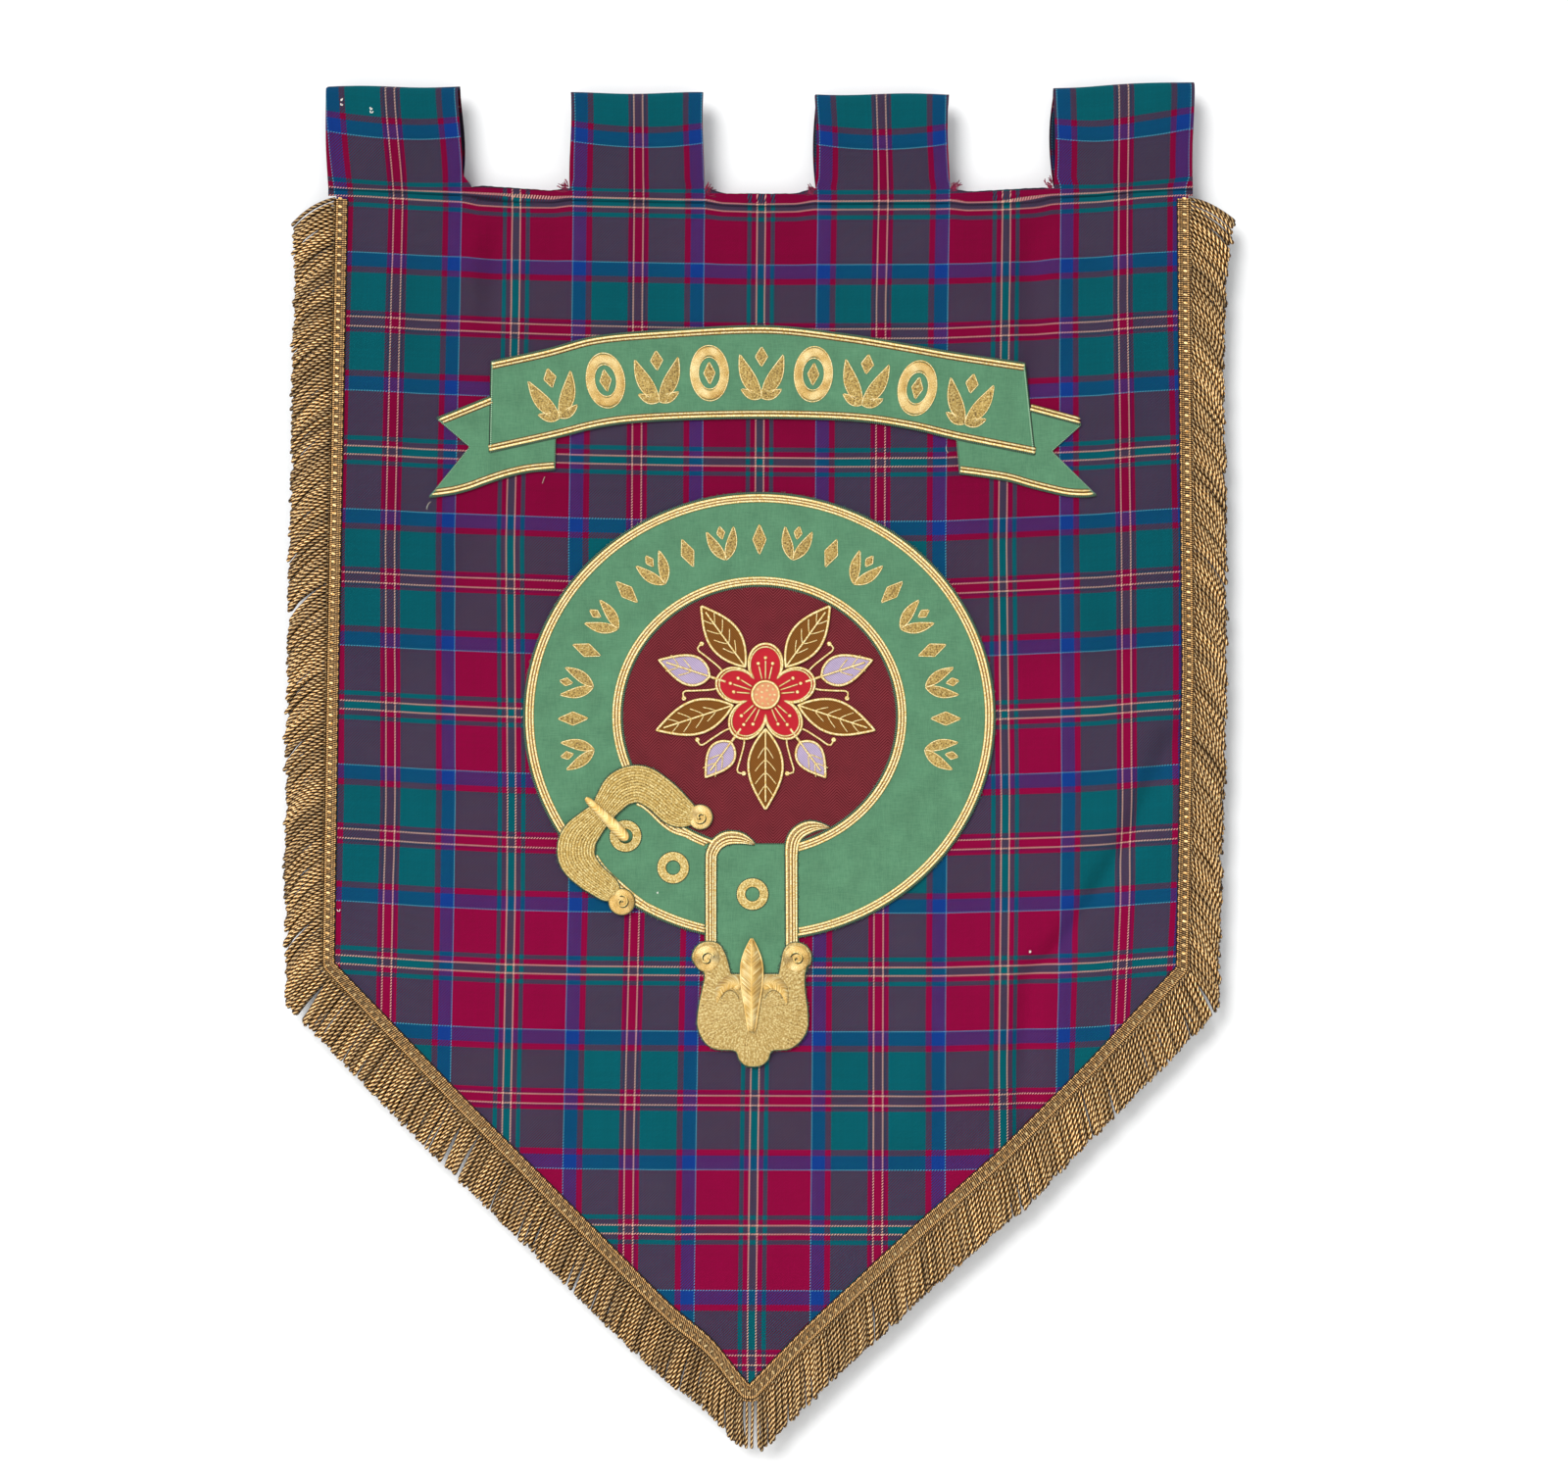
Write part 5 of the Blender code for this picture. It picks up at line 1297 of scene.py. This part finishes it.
tip_rows, tip_satin = Batch(), Batch()
couch(strap_edge, beside(tip_line, 0.0005), LINEN_FRONT - 0.0006, 0.00075, 0.45, closed=True)
fuzz(strap_edge, tip_line, 300, 0.0018, LINEN_FRONT - 0.0004, (0.2, 1.2))
crescent, lobe = smooth_path(CRESCENT, 28), ellipse(0.0072, 20, 160, 20, 0.0170, -0.7196, 1.35)
for side, shaded_sides in ((-1.0, ((8.0, 0.68), (197.0, 0.50))), (1.0, ((188.0, 0.70), (-15.0, 0.30)))):
    mirrored, middle = np.array((side, 1.0)), np.array((STRAP_X, 0.0))
    pad(tip_satin, middle + crescent[:, :2] * mirrored, crescent[:, 2], TIP_FRONT, 0.0007,
        CRESCENT_TONES[::-int(side)])
    couch(tip_rows, middle + lobe * mirrored, TIP_FRONT - 0.0001, 0.00040, 0.30)
    volute(tip_satin, tip_rows, strap_edge, STRAP_X + side * 0.0352, -0.6850, 0.0100, TIP_FRONT + 0.0002,
           shaded_sides, 90 + 70 * side, -side)
tip_rows.sew("tip_couched_rows", "gold_thread", gold_rows)
tip_satin.sew("tip_satin", "gold_thread", gold_satin)

leaf = Batch()
leaf_z, leaf_half = np.array(LEAF).T
ridge_across, ridge_rise, ridge_tones = np.array(RIDGE).T
leaf_line = np.stack((np.full(len(LEAF), STRAP_X), leaf_z), axis=1)
leaf.add(*run_on(in_front(leaf_line, LEAF_BACK), leaf_half, (ridge_across, ridge_rise, False)),
         np.tile(ridge_tones, len(LEAF)))
for side in (-1.0, 1.0):
    edge = leaf_line + np.stack((side * leaf_half, 0.0 * leaf_half), axis=1)
    couch(leaf, edge, LEAF_BACK - 0.0002, 0.0006, 1.3)
couch(leaf, leaf_line[1:-1], LEAF_BACK - 0.0018, 0.00050, 1.4)
leaf.sew("tip_satin_leaf", "gold_thread", gold_satin, "strap_tip_leaf")
strap_edge.sew("strap_overcast_edge", "green_linen", overcast)


# The buckle. A crescent of padded gold worked in rows, with a curl at each end, over the belt; its
# prong is a satin bar whose point lies in the first of three eyelets.
BUCKLE_BACK = -0.00315
BUCKLE = (
    # x       z        half
    (-0.0475, -0.5760, 0.0070), (-0.0560, -0.5730, 0.0098), (-0.0667, -0.5678, 0.0130),
    (-0.0797, -0.5560, 0.0134), (-0.0947, -0.5480, 0.0142), (-0.1090, -0.5515, 0.0138),
    (-0.1185, -0.5620, 0.0112), (-0.1245, -0.5705, 0.0096), (-0.1335, -0.5795, 0.0116),
    (-0.1430, -0.5915, 0.0142), (-0.1440, -0.6060, 0.0142), (-0.1345, -0.6190, 0.0118),
    (-0.1210, -0.6295, 0.0100), (-0.1105, -0.6390, 0.0085),
)
CURLS = (
    # x       z        radius  shade  start  way
    (-0.0472, -0.5740, 0.0092, 150.0, 200.0, 1.0),
    (-0.1088, -0.6405, 0.0098, -10.0, 110.0, -1.0),
)
PRONG = ((-0.1370, -0.5590, 0.0012), (-0.1340, -0.5618, 0.0027), (-0.1200, -0.5755, 0.0042),
         (-0.1090, -0.5868, 0.0046), (-0.1052, -0.5908, 0.0032), (-0.1042, -0.5918, 0.0010))
PRONG_BACK = -0.00565
EYELETS = (
    # name               x        z
    ("eyelet_buckle", -0.1059, -0.5889),
    ("eyelet_middle", -0.0685, -0.6137),
    ("eyelet_strap", -0.0062, -0.6345),
)
EYELET_MIDDLE, EYELET_HALF = 0.0091, 0.0031
EYELET_BACK = -0.00255
BUCKLE_RISE, BUCKLE_ROWS = 0.0019, 6
# Across the prong: a painted highlight along its top and painted shade on its sides
PRONG_TONES = (0.6, 0.6, 0.8, 1.2, 1.35, 1.3, 1.1, 0.6, 0.6)

drawn = smooth_path(BUCKLE, 70)
ends = np.ones(len(drawn))
ends[:6], ends[-6:] = np.sin(np.linspace(0.2, 1.57, 6)), np.sin(np.linspace(1.57, 0.2, 6))
buckle_line, buckle_half = drawn[:, :2], drawn[:, 2] * ends
buckle, buckle_satin, buckle_edge = Batch(), Batch(), Batch()
pad(buckle, buckle_line, buckle_half, BUCKLE_BACK, BUCKLE_RISE, 0.75)
for row in range(-BUCKLE_ROWS, BUCKLE_ROWS + 1):
    share = row / (BUCKLE_ROWS + 0.4)
    high = BUCKLE_RISE * (1.0 - share * share) ** 0.5
    couch(buckle, beside(buckle_line[2:-2], (buckle_half * share)[2:-2, None]), BUCKLE_BACK - high,
          np.maximum(buckle_half[2:-2] * 0.070, 0.0003), 0.84 + 0.14 * (row % 2))
for side in (-1, 1):
    rim = beside(buckle_line, (buckle_half * side)[:, None])
    couch(buckle_edge, rim, BUCKLE_BACK, 0.0009, 0.45)
    fuzz(buckle_edge, rim[::-side], 220, 0.0020, BUCKLE_BACK - 0.0002, (0.2, 1.2))
# The brown column turns each curl's painted shade to one side of its ring
for x, z, radius, brown, start, way in CURLS:
    volute(buckle_satin, buckle, buckle_edge, x, z, radius, BUCKLE_BACK - 0.0010, ((brown, 0.45),),
           start, way)
buckle.sew("buckle_rows", "gold_thread", gold_rows, "buckle")
buckle_satin.sew("buckle_curls", "gold_thread", gold_satin)

prong = Batch()
drawn = smooth_path(PRONG, 24)
pad(prong, drawn[:, :2], drawn[:, 2], PRONG_BACK, 0.0022, PRONG_TONES, gap=0.0014)
prong.sew("prong_satin", "gold_thread", gold_satin, "buckle_prong")

for name, x, z in EYELETS:
    eyelet = Batch()
    for batch, radius, steps, lift, half, ring_tone, flat in (
        # where it goes, from the middle, steps, forward, half, tone, flatness
        (eyelet, 0.0, 48, 0.0, EYELET_HALF, 0.85, 0.26),
        (eyelet, 0.0026, 48, 0.0003, 0.0006, 1.05, 0.75),
        (eyelet, -0.0026, 48, 0.0003, 0.0007, 1.05, 0.75),
        (buckle_edge, -0.0034, 36, -0.0002, 0.0004, 0.4, 0.75),
        (buckle_edge, 0.0034, 48, -0.0002, 0.0005, 0.6, 0.75),
    ):
        couch(batch, circle(x, z, EYELET_MIDDLE + radius, steps), EYELET_BACK - lift, half, ring_tone,
              closed=True, flat=flat, gap=0.0012)
    eyelet.sew(name + "_stitched", "gold_thread", gold_rows, name)
buckle_edge.sew("buckle_overcast_edge", "green_linen", overcast)


# The flower spray. Patches of coloured twill on the disc: a five-petalled flower, leaves and buds,
# each held down by a double line of gold thread, with gold veins, tendrils and seed stitches.
SPRAY_X, SPRAY_Z = 0.0040, -0.4780
PATCH_BACK, PATCH_THICKNESS = -0.00235, 0.0008
PETAL_LENGTH, PETAL_WAIST, FLOWER_CENTRE = 0.0400, 0.0180, 0.0105
SPRAY = (
    # name             angle  start   end     half
    ("leaf_high_left", 126.0, 0.0270, 0.0860, 0.0125),
    ("leaf_high_right", 54.0, 0.0270, 0.0860, 0.0125),
    ("leaf_side_left", 198.0, 0.0270, 0.0900, 0.0130),
    ("leaf_side_right", 342.0, 0.0270, 0.0900, 0.0130),
    ("leaf_low", 270.0, 0.0270, 0.0900, 0.0135),
    ("bud_left", 162.0, 0.0460, 0.0880, 0.0115),
    ("bud_right", 18.0, 0.0460, 0.0880, 0.0115),
    ("bud_low_left", 234.0, 0.0460, 0.0800, 0.0105),
    ("bud_low_right", 306.0, 0.0460, 0.0800, 0.0105),
)
STEM = ((0.0330, 0.0020), (0.0400, 0.0085), (0.0520, 0.0135), (0.0620, 0.0175), (0.0600, 0.0225))
TWILLS = {
    # for: low and high colour of its slanting lines
    "red": ("#B01020", "#D42C3A"), "peach": ("#DE8C5C", "#FBB486"),
    "lilac": ("#A592B4", "#CDBBD6"), "brown": ("#6E3E10", "#8E5A1E"),
}
patch_twill = {}
for name, (low, high) in TWILLS.items():
    twill = Finish(name + "_twill", Sheen_Weight=0.05, Specular_IOR_Level=0.15)
    here = twill.place()
    lie = twill.split(here)
    line = ((lie["X"] + lie["Z"]) / 0.0019).wave()
    cloudy = twill.noise(here, 120.0, 3.0)
    colour = twill.mix(twill.ease(line, 0.2, 0.8), dye(low), dye(high))
    twill.dress(Base_Color=twill.tint(colour, 0.85 + 0.25 * (cloudy - 0.5)), Roughness=0.72 + 0.1 * cloudy,
                Normal=twill.bump(line, 0.0003, 0.6))
    patch_twill[name] = twill


def turned(x, z, angle, along, aside=0.0):
    """Places at a distance from a point in one direction, in degrees, and aside from it."""
    turn = np.radians(angle)
    return np.stack(np.broadcast_arrays(x + along * np.cos(turn) - aside * np.sin(turn),
                                        z + along * np.sin(turn) + aside * np.cos(turn)), axis=-1)


def spray_place(angle, radius, aside=0.0):
    return turned(SPRAY_X, SPRAY_Z, angle, radius, aside)


def seed(batch, x, z, radius, forward, tone=1.0):
    """A small round stitched spot."""
    couch(batch, circle(x, z, radius * 0.5, 10), forward, radius * 0.5, tone, closed=True, flat=0.5,
          gap=radius * 0.5)


spray_gold = Batch()
front = PATCH_BACK - PATCH_THICKNESS
directions = 90.0 + 3.0 * np.arange(120)
swell = PETAL_WAIST + (PETAL_LENGTH - PETAL_WAIST) * np.abs(np.cos(math.pi * np.arange(120) / 24)) ** 0.7
petals, heart = spray_place(directions, swell), spray_place(np.arange(0.0, 360.0, 9.0), FLOWER_CENTRE)
flower = cut_patch("flower_red", petals, PATCH_BACK, PATCH_THICKNESS)
sew_on(flower, "red_patch", patch_twill["red"], "flower")
flower_heart = cut_patch("flower_heart", heart, front - 0.0003, PATCH_THICKNESS)
sew_on(flower_heart, "peach_patch", patch_twill["peach"], "flower_centre")
for line, lift, half, thread_tone, gap in (
    (petals, 0.0001, 0.00105, 0.9, 0.0016),
    (spray_place(directions, swell - 0.0024), 0.0001, 0.0007, 0.8, 0.0016),
    (heart, 0.0011, 0.0011, 0.95, 0.0014),
):
    couch(spray_gold, line, front - lift, half, thread_tone, closed=True, gap=gap)
for angle in 90.0 + 72.0 * np.arange(5):
    for turn in (-13.0, 0.0, 13.0):
        shorter = abs(turn) * 0.0003
        thread = spray_place(angle + turn, np.linspace(0.0125, 0.0265 - shorter, 8))
        couch(spray_gold, thread, front - 0.0002, 0.0006, 0.85)
        seed(spray_gold, *spray_place(angle + turn, 0.0290 - shorter), 0.0015, front - 0.0003)
for ring_radius, count in ((0.0035, 5), (0.0072, 10)):
    for x, z in spray_place(np.arange(count) * 360.0 / count, ring_radius):
        seed(spray_gold, x, z, 0.0012, front - 0.0013, 0.9)

for name, angle, start, end, half in SPRAY:
    if name.startswith("bud"):
        colour, fullness, ribs_at = "lilac", 0.7, (0.35, 0.6)
    else:
        colour, fullness, ribs_at = "brown", 0.9, (0.22, 0.38, 0.54, 0.70)
    share = np.linspace(0.0, 1.0, 15)
    width = half * np.sin(math.pi * share ** fullness)
    reach = start + (end - start) * share
    outline = np.vstack((spray_place(angle, reach, width),
                         spray_place(angle, reach[-2:0:-1], -width[-2:0:-1])))
    patch = cut_patch(name + "_patch", outline, PATCH_BACK, PATCH_THICKNESS)
    sew_on(patch, colour + "_patch", patch_twill[colour], name)
    couch(spray_gold, outline, front - 0.0001, 0.00105, 0.9, closed=True, gap=0.0016)
    grow = np.linspace(0.0, 1.0, 6)
    for side in (-1.0, 1.0):
        for at in ribs_at:
            aside = side * 0.62 * half * math.sin(math.pi * at ** 0.9) * grow ** 0.8
            rib = spray_place(angle, start + (end - start) * at + grow * 0.0090, aside)
            couch(spray_gold, rib, front - 0.0001, 0.0005, 0.85)
    couch(spray_gold, spray_place(angle, np.linspace(start, end - 0.006, 10)), front - 0.0002, 0.0008, 0.9)
    if colour == "lilac":
        for side in (-1.0, 1.0):
            stem = smooth_path(spray_place(angle, *(np.array(STEM).T * ((1.0,), (side,)))), 20)
            couch(spray_gold, stem, PATCH_BACK - 0.0002, 0.0008, 0.9)
            seed(spray_gold, *stem[-1], 0.0021, PATCH_BACK - 0.0002)
        stalk = spray_place(angle, np.linspace(0.0330, start, 4))
        couch(spray_gold, stalk, PATCH_BACK - 0.0003, 0.0011, 0.9)
spray_gold.sew("spray_gold_thread", "gold_thread", gold_stitch)


# The gold ornament. Rows of leaves and lozenges in flat filling stitch and ovals in satin stitch,
# each edged with one pale thread: a tall row along the scroll and a lower one round the belt.
SCROLL_MOTIFS, SCROLL_MOTIF_PITCH = 9, 0.0408
BELT_MOTIFS, BELT_MOTIF_FROM, BELT_MOTIF_TO = 19, 192.0, -12.0
BELT_MOTIF_MIDDLE = 0.1463
motif_fill, motif_satin, motif_line = Batch(), Batch(), Batch()


def fill_in(line, width, tone, gap, thread, thread_gap):
    """Filling stitch of changing width along a line, with its pale outline."""
    pad(motif_fill, line, width, LINEN_FRONT + 0.0002, 0.0007, tone, gap=gap)
    edge = np.vstack((beside(line, width[:, None]), beside(line, -width[:, None])[::-1]))
    couch(motif_line, edge, LINEN_FRONT - 0.0001, thread, 1.0, closed=True, gap=thread_gap)


def leaf_at(x, z, angle, length, half, lean):
    share = np.linspace(0.0, 1.0, 13)
    line = turned(x, z, angle, share * length, lean * np.sin(math.pi * share))
    width = half * np.sin(math.pi * share ** 0.85) + 0.0003
    fill_in(line, width, chance.uniform(0.66, 0.84), 0.0018, 0.00045, 0.0016)


def lozenge_at(x, z, angle, length, half):
    share = np.linspace(-1.0, 1.0, 9)
    width = half * (1.0 - np.abs(share)) + 0.0003
    fill_in(turned(x, z, angle, share * length / 2), width, 0.72, 0.0012, 0.00042, 0.0014)


def oval_at(x, z, angle, long, wide, half):
    ring = np.radians(np.linspace(0.0, 360.0, 40, endpoint=False))
    line = turned(x, z, angle, long * np.cos(ring), wide * np.sin(ring))
    couch(motif_satin, line, LINEN_FRONT, half, 0.95, closed=True, flat=0.22, gap=0.0018)
    for side in (1.0, -1.0):
        scale = (1.0 + side * half / wide + 1.0 + side * half / long) / 2
        couch(motif_line, (x, z) + (line - (x, z)) * scale, LINEN_FRONT - 0.0002, 0.00045, 1.0, closed=True,
              gap=0.0018)


def sprig_at(x, z, angle, foot, sprays, lozenge):
    """Pairs of leaves that grow from one foot, below a lozenge."""
    foot_x, foot_z = turned(x, z, angle, -foot)
    for opening, length, half, lean in sprays:
        leaf_at(foot_x, foot_z, angle + opening, length, half, lean)
        leaf_at(foot_x, foot_z, angle - opening, length, half, -lean)
    at, length, half = lozenge
    lozenge_at(*turned(x, z, angle, at), angle, length, half)


middle_line = (scroll_top + scroll_low) / 2
for number in range(SCROLL_MOTIFS):
    x = (number - (SCROLL_MOTIFS - 1) / 2) * SCROLL_MOTIF_PITCH + 0.0008
    before, z, after = np.interp((x - 0.02, x, x + 0.02), *middle_line.T)
    angle = 90.0 + math.degrees(math.atan((after - before) / 0.04))
    if number % 2 == 0:
        sprig_at(x, z, angle, 0.0200, ((27, 0.0375, 0.0052, 0.0022), (68, 0.0170, 0.0030, 0.0010)),
                 (0.0120, 0.0150, 0.0046))
    else:
        oval_at(x, z, angle, 0.0172, 0.0118, 0.0037)
        lozenge_at(x, z, angle, 0.0170, 0.0042)
belt_angles = np.linspace(BELT_MOTIF_FROM, BELT_MOTIF_TO, BELT_MOTIFS)
belt_spots = ellipse(BELT_MOTIF_MIDDLE, BELT_MOTIF_FROM, BELT_MOTIF_TO, BELT_MOTIFS)
for number, (angle, (x, z)) in enumerate(zip(belt_angles, belt_spots)):
    if number % 2 == 0:
        sprig_at(x, z, angle, 0.0135, ((24, 0.0265, 0.0036, 0.0014),), (0.0080, 0.0100, 0.0029))
    else:
        lozenge_at(x, z, angle, 0.0230, 0.0050)
motif_fill.sew("ornament_filling", "gold_thread", gold_rows)
motif_satin.sew("ornament_satin", "gold_thread", gold_satin)
motif_line.sew("ornament_outline", "gold_thread", gold_stitch)


# Loose bits. Crimson threads have frayed out of the corners of the notches; a few ends of sewing
# thread and flecks of white lint lie on the face.
FRAYS = (
    # x        z        way, in degrees
    (-0.1500, -0.0800, 165.0), (-0.0444, -0.0825, 25.0), (0.0434, -0.0828, 155.0),
    (0.1488, -0.0800, 20.0), (0.2300, -0.0780, 150.0),
)
LINT = ((-0.3290, -0.0125), (-0.3288, -0.0160), (-0.3055, -0.0195), (-0.3050, -0.0220), (0.2110, -0.6807),
        (-0.3311, -0.6483), (-0.0809, -0.6345))
ENDS = ((-0.1690, -0.3060, 250.0), (0.1463, -0.2820, 280.0), (-0.2580, -0.3262, 230.0),
        (-0.2595, -0.3268, 250.0))
ON_LOOPS = -0.1
frayed, lint, loose_ends = Batch(), Batch(), Batch()


def wisp(batch, x, z, forward, heading, length, half, bend, tone=1.0):
    turn = np.radians(heading) + bend * np.linspace(-0.5, 0.5, 7)
    steps = length / 6 * np.stack((np.cos(turn), -0.06 * np.ones(7), np.sin(turn)), axis=1)
    batch.add(*run_on(np.array((x, forward, z)) + np.cumsum(steps, axis=0), half, round_section(5)), tone)


for x, z, heading in FRAYS:
    outward = math.copysign(1.0, math.cos(math.radians(heading)))
    for _ in range(30):
        out = abs(chance.gauss(0.0, 0.0024))
        wisp(frayed, x + outward * out, z - 0.3 * out + chance.uniform(-0.0034, 0.0030), -0.0004,
             90.0 - outward * chance.uniform(15.0, 88.0), chance.uniform(0.0022, 0.0056), 0.00034,
             chance.uniform(-0.7, 0.7), chance.uniform(0.1, 1.0))
for x, z in (fleck for fleck in LINT for _ in range(2)):
    forward, half = (-0.0050, 0.00048) if z > ON_LOOPS else (-0.0020, 0.00034)
    wisp(lint, x, z, forward, chance.uniform(45.0, 135.0), chance.uniform(0.0014, 0.0024), half,
         chance.uniform(-1.5, 1.5))
for x, z, heading in ENDS:
    wisp(loose_ends, x, z, -0.0016, heading, 0.0056, 0.00020, chance.uniform(-1.8, 1.8))
crimson_ends = Finish("crimson_ends")
fray_tone = crimson_ends.node("Attribute", {"attribute_name": "tone"})["Fac"]
crimson_ends.dress(Base_Color=crimson_ends.mix(fray_tone, dye("#38041C"), dye("#8C0A3C")),
                   Roughness=0.75 + 0.2 * crimson_ends.noise(crimson_ends.place(), 700.0))
white_lint = Finish("white_lint", Base_Color=dye("#E8E4DC"), Roughness=0.9)
pale_ends = Finish("pale_sewing_ends", Base_Color=dye("#B9B7A4"), Roughness=0.9)
frayed.sew("frayed_crimson_ends", "tartan", crimson_ends)
lint.sew("lint_flecks", "tartan", white_lint)
loose_ends.sew("loose_sewing_ends", "tartan", pale_ends)
